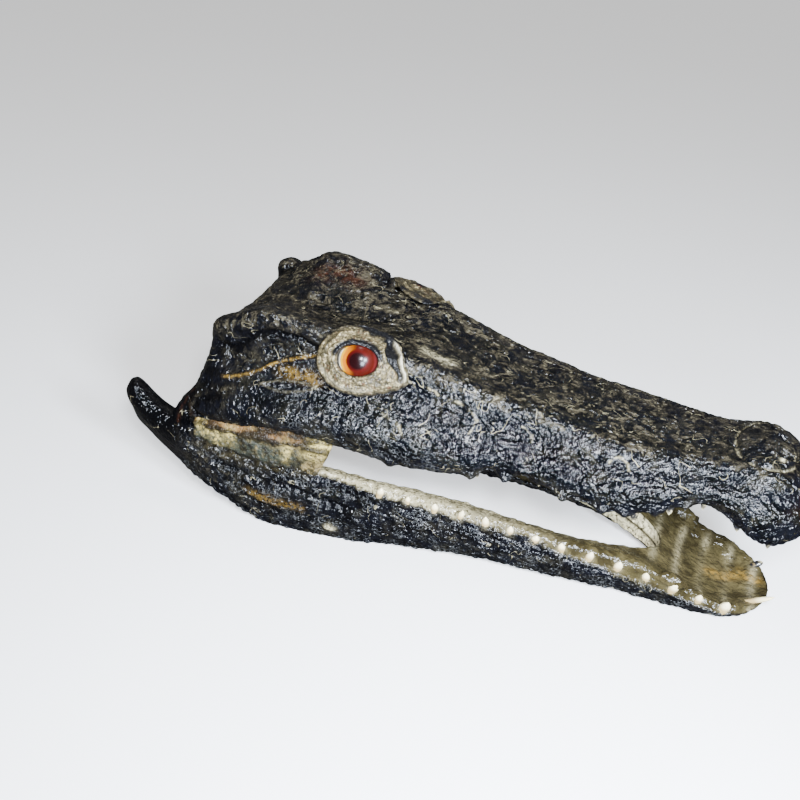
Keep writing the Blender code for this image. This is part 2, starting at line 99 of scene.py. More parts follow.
def through(corners, t):
    """Catmull-Rom curve through the corner points of all sections at once:
    corners (corner, section, 2) and t in corners from the first one."""
    k = np.clip(t.astype(int), 0, len(corners) - 2)
    s = (t - k)[:, None, None]
    a, b, c, d = (corners[np.clip(k + m, 0, len(corners) - 1)] for m in (-1, 0, 1, 2))
    curve = 0.5 * (2 * b + (c - a) * s + (2 * a - 5 * b + 4 * c - d) * s ** 2
                   + (3 * b - a - 3 * c + d) * s ** 3)
    return curve.transpose(1, 0, 2)


def smooth(value, low, high):
    """0 below low, 1 above high and 3t^2 - 2t^3 between."""
    t = np.clip((value - low) / (high - low), 0, 1)
    return t * t * (3 - 2 * t)


def hashed(i, j, k, seed):
    """Lattice integers to a repeatable number from 0 to 1: each times a large
    prime, xored together and mixed."""
    h = (i * 73856093) ^ (j * 19349663) ^ (k * 83492791) ^ (seed * 40503179)
    h = (h ^ (h >> 13)) * 1274126177
    h = (h ^ (h >> 16)) * 73244475
    return ((h >> 8) & 0xFFFFF) / 0xFFFFF


def noise(points, size, seed):
    """Gradient noise from about -1 to 1: a random slope at every corner of a
    lattice of that pitch, blended by 6t^5 - 15t^4 + 10t^3."""
    p = points / size
    base = np.floor(p).astype(np.int64)
    f = p - base
    w = f ** 3 * (f * (f * 6 - 15) + 10)
    total = 0
    for corner in np.ndindex(2, 2, 2):
        at = np.moveaxis(base + corner, -1, 0)
        slope = np.stack([hashed(*at, seed * 3 + m) for m in range(3)], -1) * 2 - 1
        total = total + (np.prod(np.where(corner, w, 1 - w), -1)
                         * np.sum(slope * (f - corner), -1))
    return total * 1.3


def cells(points, size, seed):
    """Distance to the nearest of points scattered one to each cube of that
    size, in cubes, and that point's own random number."""
    p = points / size
    base = np.floor(p).astype(np.int64)
    near = np.full(p.shape[:-1], 9.0)
    own = near.copy()
    for corner in np.ndindex(3, 3, 3):
        at = np.moveaxis(base + corner - 1, -1, 0)
        spot = np.stack([hashed(*at, seed * 3 + m) for m in range(3)], -1)
        gap = np.linalg.norm(base + corner - 1 + 0.15 + 0.7 * spot - p, axis=-1)
        own = np.where(gap < near, spot[..., 0], own)
        near = np.minimum(near, gap)
    return near, own


def beaded(points, size, seed):
    """Domes on scattered points, 1.1 less 1.5 times the distance squared, each
    of a height of its own."""
    near, own = cells(points, size, seed)
    return np.clip(1.1 - 1.5 * near ** 2, 0, 1) * (0.6 + 0.7 * own)


def warped(points, size, reach, seed):
    """The points pushed about by three noises, which breaks up straight lines."""
    return points + reach * np.stack([noise(points, size, seed + m) for m in range(3)], -1)


def off_path(points, path, *seen):
    """Shortest distance of each point from a line of straight pieces, in the
    view along the one axis that is left out: seen names the other two."""
    flat_points, path = points[..., list(seen)], np.array(path, float)
    best = np.full(points.shape[:-1], 1e9)
    for a, b in zip(path, path[1:]):
        along = np.clip((flat_points - a) @ (b - a) / ((b - a) @ (b - a)), 0, 1)
        gap = flat_points - a - along[..., None] * (b - a)
        best = np.minimum(best, np.linalg.norm(gap, axis=-1))
    return best


def bell(distance, width):
    """1 on the line, falling off as e to the minus square of distance over width."""
    return np.exp(-(distance / width) ** 2)


def swollen(points, normals, at, reach):
    """Points inside a knob are carried out along their normals to its skin: the
    far root of the square that says where a line leaves an ellipsoid."""
    p, n = (points - at) / reach, normals / np.array(reach)
    square, middle = np.sum(n * n, -1), np.sum(p * n, -1)
    rest = np.sum(p * p, -1) - 1
    root = np.sqrt(np.maximum(middle ** 2 - square * rest, 0))
    out = np.where(rest < 0, (root - middle) / square, 0)
    return points + normals * np.clip(out, 0, max(reach))[..., None]


def facing(grid):
    """Normals of a grid of points, whose last column meets its first, from the
    diagonals of its squares, added up at each point."""
    full = np.concatenate([grid, grid[:, :1]], 1)
    square = np.cross(full[1:, 1:] - full[:-1, :-1], full[:-1, 1:] - full[1:, :-1])
    total = np.zeros(full.shape)
    for i, j in np.ndindex(2, 2):
        total[i:full.shape[0] - 1 + i, j:full.shape[1] - 1 + j] += square
    total[:, 0] += total[:, -1]
    total = total[:, :-1]
    length = np.linalg.norm(total, axis=-1, keepdims=True)
    return total / np.maximum(length, 1e-12)


def rounded(start, length, steps, sign, reach=0.93):
    """Stations and shrink factors of a quarter-round end, a sine and a cosine."""
    turn = np.linspace(0, math.pi / 2 * reach, steps)
    return start + sign * length * np.sin(turn), np.cos(turn)


def closed_end(ring, steps, sign):
    """Flat cover of an open end: the ring drawn in to its middle in steps."""
    middle = ring.mean(0)
    share = np.linspace(1, 0, steps + 1)[1:, None, None]
    rows = middle + (ring - middle) * share
    return rows if sign > 0 else rows[::-1]


turn_up = np.array([[math.cos(NOSE_UP), 0, -math.sin(NOSE_UP)], [0, 1, 0],
                    [math.sin(NOSE_UP), 0, math.cos(NOSE_UP)]])
ball = np.mean([np.array(corner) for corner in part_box("eye_left")], 0)
origin = ball - turn_up @ np.array(EYE_AT) * 0.001


def laid(points):
    """Head millimetres to table metres: nose turned up by NOSE_UP about Y, and
    moved so that the left eye lies on the CAD's ball."""
    return points @ turn_up.T * 0.001 + origin


def boxed(points):
    """Points held inside the CAD's box: in the last BOX_SOFT, what is past it
    goes by a hyperbolic tangent and never reaches the end."""
    low, high = np.array(cad_box[0]) + BOX_ROOM, np.array(cad_box[1]) - BOX_ROOM
    over = points - (high - BOX_SOFT)
    points = np.where(over > 0, high - BOX_SOFT + BOX_SOFT * np.tanh(over / BOX_SOFT), points)
    under = (low + BOX_SOFT) - points
    return np.where(under > 0, low + BOX_SOFT - BOX_SOFT * np.tanh(under / BOX_SOFT), points)


def hide_piece(name, points, faces, normals, tones, surface, slot, *nodes):
    """A mesh from points in head millimetres, with its normals, its material,
    and its tones as point attributes for that."""
    mesh = bpy.data.meshes.new(name)
    mesh.from_pydata(boxed(laid(points.reshape(-1, 3))), [], faces.tolist())
    mesh.polygons.foreach_set("use_smooth", np.ones(len(faces), bool))
    for key, value in tones.items():
        layer = mesh.attributes.new(key, "FLOAT", "POINT")
        layer.data.foreach_set("value", value.astype(np.float32).ravel())
    if normals is not None:
        mesh.normals_split_custom_set_from_vertices(normals.reshape(-1, 3) @ turn_up.T)
    piece = bpy.data.objects.new(name, mesh)
    bpy.context.scene.collection.objects.link(piece)
    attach(piece, "root")
    if nodes:
        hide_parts(*nodes)
    mesh.materials.append(surface)


def squares(rows, columns):
    """Corner numbers of the squares of a grid whose last column meets its first."""
    i = np.arange(rows - 1)[:, None] * columns
    j = np.arange(columns)
    k = (j + 1) % columns
    return np.stack([i + j, i + columns + j, i + columns + k, i + k], -1).reshape(-1, 4)


def tube_piece(name, grid, wind, *rest):
    """A piece of one grid that closes round on itself, wound the given way."""
    hide_piece(name, grid, squares(*grid.shape[:2])[:, ::wind], facing(grid) * wind, *rest)


head = {name: outline(HEAD_X, values) for name, values in (
    ("lip_half", LIP_HALF), ("lip_z", LIP_Z), ("side_half", SIDE_HALF), ("side_z", SIDE_Z),
    ("edge_half", EDGE_HALF), ("edge_z", EDGE_Z), ("roof_z", ROOF_Z), ("hollow", HOLLOW))}


def head_sleeve(pitch):
    """Sections of the upper head.  Each runs from the roof's middle over the
    brow edge, cheek and lip to the palate, and is mirrored; the back is closed
    by a quarter round that leans forward, the nose by a longer one."""
    back, shrink_back = rounded(HEAD_X[0] + BACK_ROUND, BACK_ROUND, 14, -1)
    nose, shrink_nose = rounded(HEAD_X[-1] - NOSE_ROUND, NOSE_ROUND, int(52 / pitch), 1)
    steps = int((HEAD_X[-1] - NOSE_ROUND - HEAD_X[0] - BACK_ROUND) / pitch)
    body = np.linspace(HEAD_X[0] + BACK_ROUND, HEAD_X[-1] - NOSE_ROUND, steps)[1:-1]
    x = np.concatenate([back[::-1], body, nose])
    shrink = np.concatenate([shrink_back[::-1], np.ones(len(body)), shrink_nose])
    wide = np.where(x < 0, shrink ** 0.4, shrink ** 0.9)
    tall = np.where(x < 0, shrink ** 0.4, shrink ** 0.6)
    at = {name: value(x) for name, value in head.items()}
    rise = PALATE_RISE * np.where(x < 0, 1, shrink ** 1.5)
    centre = np.where(x < 0, 34, 12)

    def corner(y, z):
        """One corner of every section, drawn in at the rounded ends."""
        return np.stack([y * wide, centre + (z - centre) * tall], -1)

    corners = np.stack([
        corner(0 * x, at["roof_z"]),
        corner(at["edge_half"] * 0.55, at["roof_z"] * 0.4 + at["edge_z"] * 0.6),
        corner(at["edge_half"], at["edge_z"]),
        corner((at["edge_half"] + at["side_half"]) / 2 - at["hollow"],
               (at["edge_z"] + at["side_z"]) / 2),
        corner(at["side_half"], at["side_z"]),
        corner(at["lip_half"], at["lip_z"]),
        corner(at["lip_half"] - 5, at["lip_z"] - 0.5),
        corner(at["lip_half"] - 11, at["lip_z"] + rise * 0.5),
        corner(at["lip_half"] * 0.4, at["lip_z"] + rise * 0.9),
        corner(0 * x, at["lip_z"] + rise)])
    fine = [int(n * FULL_PITCH / pitch) for n in COLUMNS]
    t = np.concatenate([k + np.arange(n) / n for k, n in enumerate(fine)] + [[9.0]])
    half = through(corners, t)
    section = np.concatenate([half, half[:, -2:0:-1] * [-1, 1]], 1)
    fade = np.clip(1 - (x - HEAD_X[0]) / 80, 0, 1)[:, None]
    along = x[:, None] + BACK_LEAN * (section[..., 1] - 10) / 50 * fade
    rings = np.concatenate([along[..., None], section], -1)
    t = np.concatenate([t, t[-2:0:-1]])
    rings = np.concatenate([closed_end(rings[0], 12, -1), rings, closed_end(rings[-1], 6, 1)])
    return rings, np.broadcast_to(t, rings.shape[:2])


def eye_axes(side):
    """Directions along the lids, up the lids and out of one socket."""
    out = np.array([0.12, 0.90 * side, 0.40])
    out = out / np.linalg.norm(out)
    along = np.cross(out, [0, 0, 1]) * side
    along = along / np.linalg.norm(along)
    return np.stack([along, np.cross(along, out) * side, out])


LID_REACH, LID_SEAT = (24.5, 19.5, 9), 2.5
LID_LEVEL, LID_SINK, LID_SLIDE, FAR_SINK, FAR_FROM = 1.1, 0.76, 1.5, 0.45, 3


def laid_in(points, side):
    """The lid's top, where it would stand over the brow's edge, folded inward
    on the roof: what is over the edge sinks by a share of its height and
    slides inward by a multiple of that."""
    over = np.maximum(points[..., 2] - head["edge_z"](points[..., 0]) - LID_LEVEL, 0)
    sink = LID_SINK * over + FAR_SINK * np.maximum(over - FAR_FROM, 0) * (side > 0)
    return points + np.stack([0 * sink, -side * LID_SLIDE * sink, -sink], -1)


def almond(a, b):
    """How far the lids' outline is drawn out to a point, low at the front: a
    bell round that direction."""
    return 1 + 0.24 * bell(np.arctan2(b / LID_REACH[1], a / LID_REACH[0]) + 0.44, 0.34)


def sunk_orbits(points):
    """The hide pressed into a bowl under each eyelid: inside the lids' outline
    a point goes down to the lower half of their ellipsoid."""
    for side in (-1, 1):
        axes = eye_axes(side)
        local = (points - np.array(EYE_AT) * [1, side, 1]) @ axes.T
        q = np.hypot(local[..., 0] / LID_REACH[0], local[..., 1] / LID_REACH[1])
        q = q / almond(local[..., 0], local[..., 1])
        bowl = LID_SEAT - 1 - LID_REACH[2] * np.sqrt(np.clip(1 - q * q, 0, 1))
        press = smooth(q, 1.03, 0.9) * (local[..., 2] > -20)
        drop = np.minimum(bowl - local[..., 2], 0) * press
        points = points + drop[..., None] * axes[2]
    return points


# folds of the side, each a line of x and z
EAR_GROOVE = ((-5.5, 54.7), (4, 55.3), (17.7, 66.2), (30.4, 70.5), (44.8, 67.5), (55, 62.6))
EAR_HOLLOW = ((0, 49), (16, 53), (30, 59), (44, 60), (53, 58))
GOLD_FOLD = ((-2, 39.5), (7, 41), (19, 46), (30, 52), (42, 55.6), (56, 59))
GOLD_FLECKS = ((24, 49), (36, 48.6), (45.5, 47.7), (56, 46))
LENS_FOLD = ((25, 41), (33, 43.6), (41, 44.6), (50, 44), (58, 42.5), (50, 40.6), (41, 39.2),
             (33, 39.4), (25, 41))
CHEEK_RIM = ((-24.7, 17.5), (-15.5, 25.6), (2, 33), (17.7, 38.8), (26, 41))
CHEEK_END = ((-2, 30), (-16, 24), (-21, 17), (-17, 11), (-6, 9))
CREASES = (((103, 52), (110, 49), (118, 48.5), (124, 45)),
           ((133, 43.5), (142, 39), (147, 34), (144, 28.5)),
           ((220, 24), (224.5, 27), (229, 25), (231, 21)),
           ((96, 34), (104, 31), (109, 26)), ((172, 34), (177, 30), (176, 25)))
# folds of the top, each a line of x and y
TEMPLE_RIDGE = ((22, 50), (20, 26), (23, 8))
ROOF_GROOVE = ((-2, -16), (1.4, 3.6), (10, 7.6), (27.6, 5.6), (48, 3.5))
ROOF_STREAKS = (((6, -34), (14, -38), (26, -36)), ((-8, -26), (2, -30), (12, -26)),
                ((60, -14), (74, -17), (90, -15)), ((52, 16), (66, 12), (82, 14)))
RUST_PATCH = ((22, 27), (32, 33), (44, 31))
CREAM_PATCH = ((107, -18), (114, -21), (123, -20))
PAD_AT, PAD_REACH, NOSTRIL_AT, NOSTRIL_REACH = (298, 0), (17, 24.5), (306, 9), (5, 3.4)
LIP_LOBES = (102, 147.5, 166, 199, 220, 232, 247.6, 262)
LIP_NOTCHES = (157, 176)
HORN_AT, HORN_REACH = (-9, 46, 66.5), (8, 8, 8)
SIDE_KNOBS = ((-3, 49.5, 2.8, 1.7), (12, 48.2, 2.4, 1.4))
ROOF_DENT, BROW_BUMP, LIP_SWELL = (8, 23), (-6, 65), 199
# painted highlights at the nostrils: centre x and y, stretch and width
PAINTED_NOSTRIL_GLINTS = (((309.6, 8.3), (1.6, 1), 1.1), ((305.5, -13.3), (1, 1.4), 1.2))
NOSE_RUST, CHEEK_RUST = (318, 14), (-30, 14)


def hide_relief(points, t):
    """Height of the dried skin in millimetres, and its tones.  Creased pillows
    of skin are the size of a noise, beads the nearest of scattered points, and
    each fold is a bell round its line.  t counts the section's corners: 2 is
    the brow edge, 4 the side, 5 the lip and 9 the middle of the palate."""
    x, y, z = np.moveaxis(points, -1, 0)
    wide = np.abs(y)
    lumps = noise(points, 26, 1) * 0.9 + noise(points, 12, 2) * 0.6
    loose = warped(points, 9, 2.4, 20)
    wrinkle = np.abs(noise(loose * [0.6, 1, 1], 4.6, 30)) ** 0.6
    crinkle = np.abs(noise(loose * [0.8, 1, 1], 2.3, 31)) ** 0.7
    beads = beaded(warped(points, 7, 0.9, 40), 3.7, 41)
    cheek = smooth(t, 2.9, 3.5) * smooth(t, 6.3, 5.6) * smooth(x, 175, 100)
    palate = smooth(t, 6.5, 7.3)
    side = smooth(t, 1.6, 2.0) * smooth(t, 5.4, 5.1)
    top = smooth(t, 2.5, 2.2)

    def beside(line, width, seen=points):
        """A bell round a line of the head's side."""
        return bell(off_path(seen, line, 0, 2), width) * side

    def above(line, width, seen=points):
        """A bell round a line of the head's top."""
        return bell(off_path(seen, line, 0, 1), width) * top

    ear = beside(EAR_HOLLOW, 6)
    pebbly = np.maximum(cheek, smooth(t, 3.6, 4.3) * smooth(t, 6.2, 5.6) * 0.9)
    skin = (1.1 * wrinkle + 0.65 * crinkle) * (1 - 0.8 * cheek) * (1 - 0.5 * ear)
    skin = skin + 0.95 * beads * pebbly
    from_gold = off_path(warped(points, 5, 0.7, 46), GOLD_FOLD, 0, 2)
    gold_fold = bell(from_gold, 1.5) * side
    rim = beside(CHEEK_RIM, 1.8)
    end = beside(CHEEK_END, 2.2)
    broken = smooth(noise(points, 5, 49), -0.25, 0.15)
    bent = warped(points, 4, 1.3, 48)
    crease = sum(beside(line, 0.45, bent) for line in CREASES) * broken
    groove = beside(EAR_GROOVE, 2.2)
    ridge = above(TEMPLE_RIDGE, 3.4, np.stack([x, wide, z], -1))
    midline = above(ROOF_GROOVE, 1.8)
    bent = warped(points, 4, 0.8, 48)
    streak = sum(above(line, 0.6, bent) for line in ROOF_STREAKS) * broken
    folds = (1.3 * gold_fold + 0.9 * beside(LENS_FOLD, 1.0) + 1.3 * rim - 1.6 * end + 0.35 * crease
             - 1.8 * groove - 1.6 * ear + 1.3 * ridge - 1.1 * midline + 0.4 * streak)
    folds += side * sum(high * bell(np.hypot(x - at_x, z - at_z), width)
                        for at_x, at_z, width, high in SIDE_KNOBS)
    folds -= 1.6 * bell(np.hypot(x - ROOF_DENT[0], wide - ROOF_DENT[1]), 9) * top
    pad = np.hypot((x - PAD_AT[0]) / PAD_REACH[0], y / PAD_REACH[1])
    nostril = np.hypot((x - NOSTRIL_AT[0]) / NOSTRIL_REACH[0],
                       (wide - NOSTRIL_AT[1]) / NOSTRIL_REACH[1])
    folds += (0.9 * smooth(pad, 1, 0.85) - 1.3 * bell(pad - 1, 0.07)) * top
    folds += (0.8 * bell(nostril - 1.3, 0.35) - 4.5 * smooth(nostril, 1.05, 0.5)) * top
    lobe = sum(bell(x - at, 3.2) for at in LIP_LOBES) * smooth(t, 4.6, 5.0) * smooth(t, 6.2, 5.7)
    folds += 2.4 * lobe
    edge = smooth(t, 4.3, 4.9) * smooth(t, 6.8, 6.0)
    folds += (1.6 * bell(x - LIP_SWELL, 5) - 3.6 * sum(bell(x - at, 5) for at in LIP_NOTCHES)) * edge
    brow = bell(np.hypot((x - BROW_BUMP[0]) / 1.3, z - BROW_BUMP[1]), 7)
    folds += 2.8 * brow * smooth(wide, 36, 44)
    # Painted highlights: pale spots at the nostrils stand in for glints.
    nostril_glints = sum(bell(np.hypot((x - at[0]) / drawn[0], (y - at[1]) / drawn[1]), width)
                for at, drawn, width in PAINTED_NOSTRIL_GLINTS)
    cream = above(CREAM_PATCH, 3)
    flecks = beside(GOLD_FLECKS, 2.6) * smooth(x, 28, 42)
    tones = {
        "gold": np.clip(bell(from_gold, 0.7) * side * smooth(x, -4, 2) + 0.6 * flecks, 0, 1),
        # pale: cream creases, streaks, patches and the pad's rim line, and the painted nostril highlights
        "pale": np.clip(0.06 * beside(LENS_FOLD, 0.5) + 0.45 * crease + 0.4 * streak + 0.4 * cream
                        + nostril_glints + 0.25 * bell(pad - 1, 0.03) * top * broken, 0, 1),
        # brown: brown patches, strongest on the top, where they also stand in for the top's sheen
        "brown": np.clip(0.75 * top * smooth(x, 300, 180) + 0.55 * top + 0.9 * rim + 0.7 * ridge
                         + 0.4 * midline + 0.5 * ear + 0.8 * bell(x - LIP_SWELL, 4) * edge,
                         0, 1) * (1 - palate),
        "rust": np.clip(above(RUST_PATCH, 6.5)
                        + 0.1 * bell(np.hypot(x - NOSE_RUST[0], z - NOSE_RUST[1]), 8)
                        + 0.9 * bell(np.hypot(x - CHEEK_RUST[0], z - CHEEK_RUST[1]), 7)
                        * smooth(wide, 50, 55), 0, 1),
        "olive": palate, "bead": cheek * smooth(x, 20, 60),
        # hollow: painted shade in the cheek's end fold, the ear groove and the nostrils
        "hollow": np.clip(end + groove + 0.8 * smooth(nostril, 1.1, 0.7) * top, 0, 1)}
    return lumps + skin * (1 - 0.75 * palate) - 0.9 + folds, tones


PITCH = FULL_PITCH
sleeve, across = head_sleeve(PITCH)
bare = swollen(sleeve, facing(sleeve), HORN_AT, HORN_REACH)
height, hide_tones = hide_relief(bare, across)
upward = facing(bare)
hide_tones["under"] = smooth(-upward[..., 2], 0.05, 0.5)
bare = bare + upward * (height - HIDE_UNDER_BOX)[..., None]
bare = sunk_orbits(bare)
upward = facing(bare)


class Wire:
    """One output of a shader node.  Sums, differences and products of wires
    and numbers add the Math nodes that work them out."""

    def __init__(self, tree, socket):
        self.tree, self.socket = tree, socket

    def add(self, kind, settings, inputs, output=0):
        """One output of a new node: its settings are set first, then the
        values or wires of its inputs."""
        made = self.tree.nodes.new("ShaderNode" + kind)
        for key, value in settings.items():
            setattr(made, key, value)
        for key, value in inputs.items():
            if isinstance(value, Wire):
                self.tree.links.new(value.socket, made.inputs[key])
            else:
                made.inputs[key].default_value = value
        return Wire(self.tree, made.outputs[output])

    def maths(self, operation, first, second):
        """A Math node on two wires or numbers."""
        return self.add("Math", {"operation": operation}, {0: first, 1: second})

    def __add__(self, other):
        return self.maths("ADD", self, other)

    def __sub__(self, other):
        return self.maths("SUBTRACT", self, other)

    def __rsub__(self, other):
        return self.maths("SUBTRACT", other, self)

    def __mul__(self, other):
        return self.maths("MULTIPLY", self, other)

    def size(self):
        """The number without its sign."""
        return self.add("Math", {"operation": "ABSOLUTE"}, {0: self})

    def ease(self, low, high):
        """0 at low, 1 at high and a smooth step between."""
        return self.add("MapRange", {"interpolation_type": "SMOOTHSTEP"},
                        {"Value": self, "From Min": low, "From Max": high})

    def tint(self, first, second):
        """The first colour where this is 0, the second where it is 1."""
        return self.add("Mix", {"data_type": "RGBA", "clamp_factor": True},
                        {0: self, 6: first, 7: second}, 2)

    __radd__, __rmul__ = __add__, __mul__


def finish(name):
    """A new material, its shader node, and a wire of its object coordinates."""
    made = bpy.data.materials.new(name)
    made.use_nodes = True
    tree = made.node_tree
    shader = tree.nodes["Principled BSDF"]
    spot = tree.nodes.new("ShaderNodeTexCoord")
    return made, shader, Wire(tree, spot.outputs["Object"])


def connect(shader, **wires):
    """Wires or plain values put on the shader's own sockets by name."""
    for key, value in wires.items():
        socket = shader.inputs[key.replace("_", " ")]
        if isinstance(value, Wire):
            value.tree.links.new(value.socket, socket)
        else:
            socket.default_value = value


def grain(spot, scale, detail=3, rough=0.6, bend=0.0):
    """Fractal noise of the object coordinates from 0 to 1."""
    return spot.add("TexNoise", {}, {"Vector": spot, "Scale": scale, "Detail": detail,
                                     "Roughness": rough, "Distortion": bend}, "Fac")


def tone(spot, name):
    """A point attribute of the mesh as a number."""
    return spot.add("Attribute", {"attribute_name": name}, {}, "Fac")


BLACK, COAL = (0.0004, 0.0004, 0.0006, 1), (0.0012, 0.0013, 0.0022, 1)
BROWN_AND_SHEEN, UMBER = (0.032, 0.027, 0.017, 1), (0.0100, 0.0088, 0.0060, 1)
CREAM, GOLD = (0.40, 0.35, 0.21, 1), (0.115, 0.068, 0.013, 1)
RUST, NET = (0.026, 0.009, 0.004, 1), (0.11, 0.112, 0.11, 1)
OLIVE, PALE_OLIVE = (0.018, 0.0145, 0.006, 1), (0.034, 0.027, 0.0115, 1)
DARK_OLIVE = (0.008, 0.006, 0.0025, 1)

lacquer, shader, spot = finish("lacquered_black_hide")
mottle = grain(spot, 42, 4, 0.65).ease(0.42, 0.66)
patch = grain(spot, 130, 4, 0.65, 0.8).ease(0.42, 0.62)
bead = tone(spot, "bead")
colour = grain(spot, 95, 3).ease(0.35, 0.65).tint(BLACK, COAL)
colour = (mottle * patch * 0.8).tint(colour, UMBER)
# Brown patches, strongest on the top of the head, where their lighter brown also stands in for the top's
# sheen.
colour = (tone(spot, "brown") * grain(spot, 105, 5, 0.7, 1.2).ease(0.46, 0.68)).tint(colour, BROWN_AND_SHEEN)
colour = (tone(spot, "brown") * grain(spot, 260, 4, 0.7, 0.4).ease(0.58, 0.76) * 0.2).tint(colour, CREAM)
colour = (tone(spot, "rust") * grain(spot, 170, 4, 0.7).ease(0.36, 0.6) * 0.6).tint(colour, RUST)
olive = grain(spot, 75, 4, 0.7, 0.5).ease(0.38, 0.64).tint(OLIVE, PALE_OLIVE)
olive = (grain(spot, 95, 2, 0.6, 1.2).ease(0.45, 0.62) * 0.75).tint(olive, DARK_OLIVE)
colour = tone(spot, "olive").tint(colour, olive)
# The hollow tone lays black: painted shade in sunken folds, grooves and nostrils, black paint on the jaw's
# lobes, and the nape darker away from its rust band.
colour = tone(spot, "hollow").tint(colour, BLACK)
hair = (grain(spot, 63, 1, 0.5, 0.7) - 0.5).size().ease(0.0042, 0.0012)
hair = hair * grain(spot, 90, 2, 0.5).ease(0.53, 0.60) * (1 - tone(spot, "olive"))
colour = (hair * 0.32).tint(colour, CREAM)
edge = spot.add("TexVoronoi", {"feature": "DISTANCE_TO_EDGE"}, {"Vector": spot, "Scale": 420}, "Distance")
net = edge.ease(0.08, 0.01) * grain(spot, 120, 3).ease(0.48, 0.66) * bead
colour = (net * 0.3).tint(colour, NET)
gilt = grain(spot, 420, 3, 0.75).ease(0.34, 0.60) * grain(spot, 150, 3, 0.6).ease(0.25, 0.55)
colour = (tone(spot, "gold") * gilt).tint(colour, GOLD)
colour = (tone(spot, "pale") * grain(spot, 480, 3, 0.7).ease(0.32, 0.56)).tint(colour, CREAM)
fold = (grain(spot, 230, 2, 0.6, 0.7) - 0.5).size()
knot = grain(spot, 430, 1, 0.5, 0.3)
relief = (fold * 2.4 + knot * 1.5) * (1 - tone(spot, "olive") * 0.55)
bump = spot.add("Bump", {}, {"Height": relief, "Strength": 0.9, "Distance": 0.0012})
under = tone(spot, "under")
gloss = grain(spot, 80, 2).ease(0.3, 0.6) * (1 - under) * (1 - tone(spot, "olive") * 0.8)
connect(shader, Base_Color=colour, Roughness=grain(spot, 150, 3) * 0.13 + under * 0.3 + 0.06,
        Specular_IOR_Level=0.16, Coat_Weight=gloss * 0.16, Coat_Roughness=0.12, Coat_IOR=1.35,
        Normal=bump)

rear_end = int(np.argmax(sleeve[:, 0, 0] > 112))
front_start = int(np.argmax(sleeve[:, 0, 0] > 222))
bands = (("crown_hide", 0, rear_end + 1, ("skull_roof", "braincase", "brow_right", "brow_left",
                                          "cheek_right", "cheek_left")),
         ("snout_hide", rear_end, front_start + 1, ("snout",)),
         ("nose_hide", front_start, len(sleeve), ("nose",)))
for name, first, last, nodes in bands:
    part = slice(first, last)
    hide_piece(name, bare[part], squares(last - first, sleeve.shape[1]), upward[part],
               {key: value[part] for key, value in hide_tones.items()}, lacquer,
               "lacquered_hide", *nodes)

# ---------------------------------------------------------------------------
# Hide of the lower jaw: two arms that meet in the chin, lacquered skin outside
# and dried gum and throat inside, with bare black lobes behind the joint.  One
# half is drawn closed, mirrored, and swung open about the jaw joint.
# ---------------------------------------------------------------------------
JAW_X = (-76, -54, -22, 32, 80, 140, 200, 257, 290, 322.5)
JAW_HALF = (57, 61, 66, 66, 60, 51.5, 44.5, 37.5, 34.5, 31)
JAW_THICK = (13, 16, 18, 19, 17, 15, 13, 16, 17, 17)
JAW_TOP = (18, 4, 3.5, 2.5, 0.5, 0.3, -0.5, -2, -8.5, -11)
JAW_LOW = (-10, -21, -34, -50, -45.5, -34, -27.5, -25, -23.5, -16)
JAW_GUM = (0, 0, 0, 0, -1, -2, -3.5, -8, -12, -14)
CHIN_ROUND, HEEL_ROUND, ARCH_X, ARCH_LENGTH, TRAY_DIP = 32, 12, 257, 48, 5
ARM_BEVEL = 0.22
GAPE, HINGE = math.radians(8.6), np.array([-23.0, 0.0, 0.0])
CHIN_FROM = 211
SIDES = ((1, "left"), (-1, "right"))
jaw = {name: outline(JAW_X, values) for name, values in (
    ("half", JAW_HALF), ("thick", JAW_THICK), ("top", JAW_TOP), ("low", JAW_LOW),
    ("gum", JAW_GUM))}


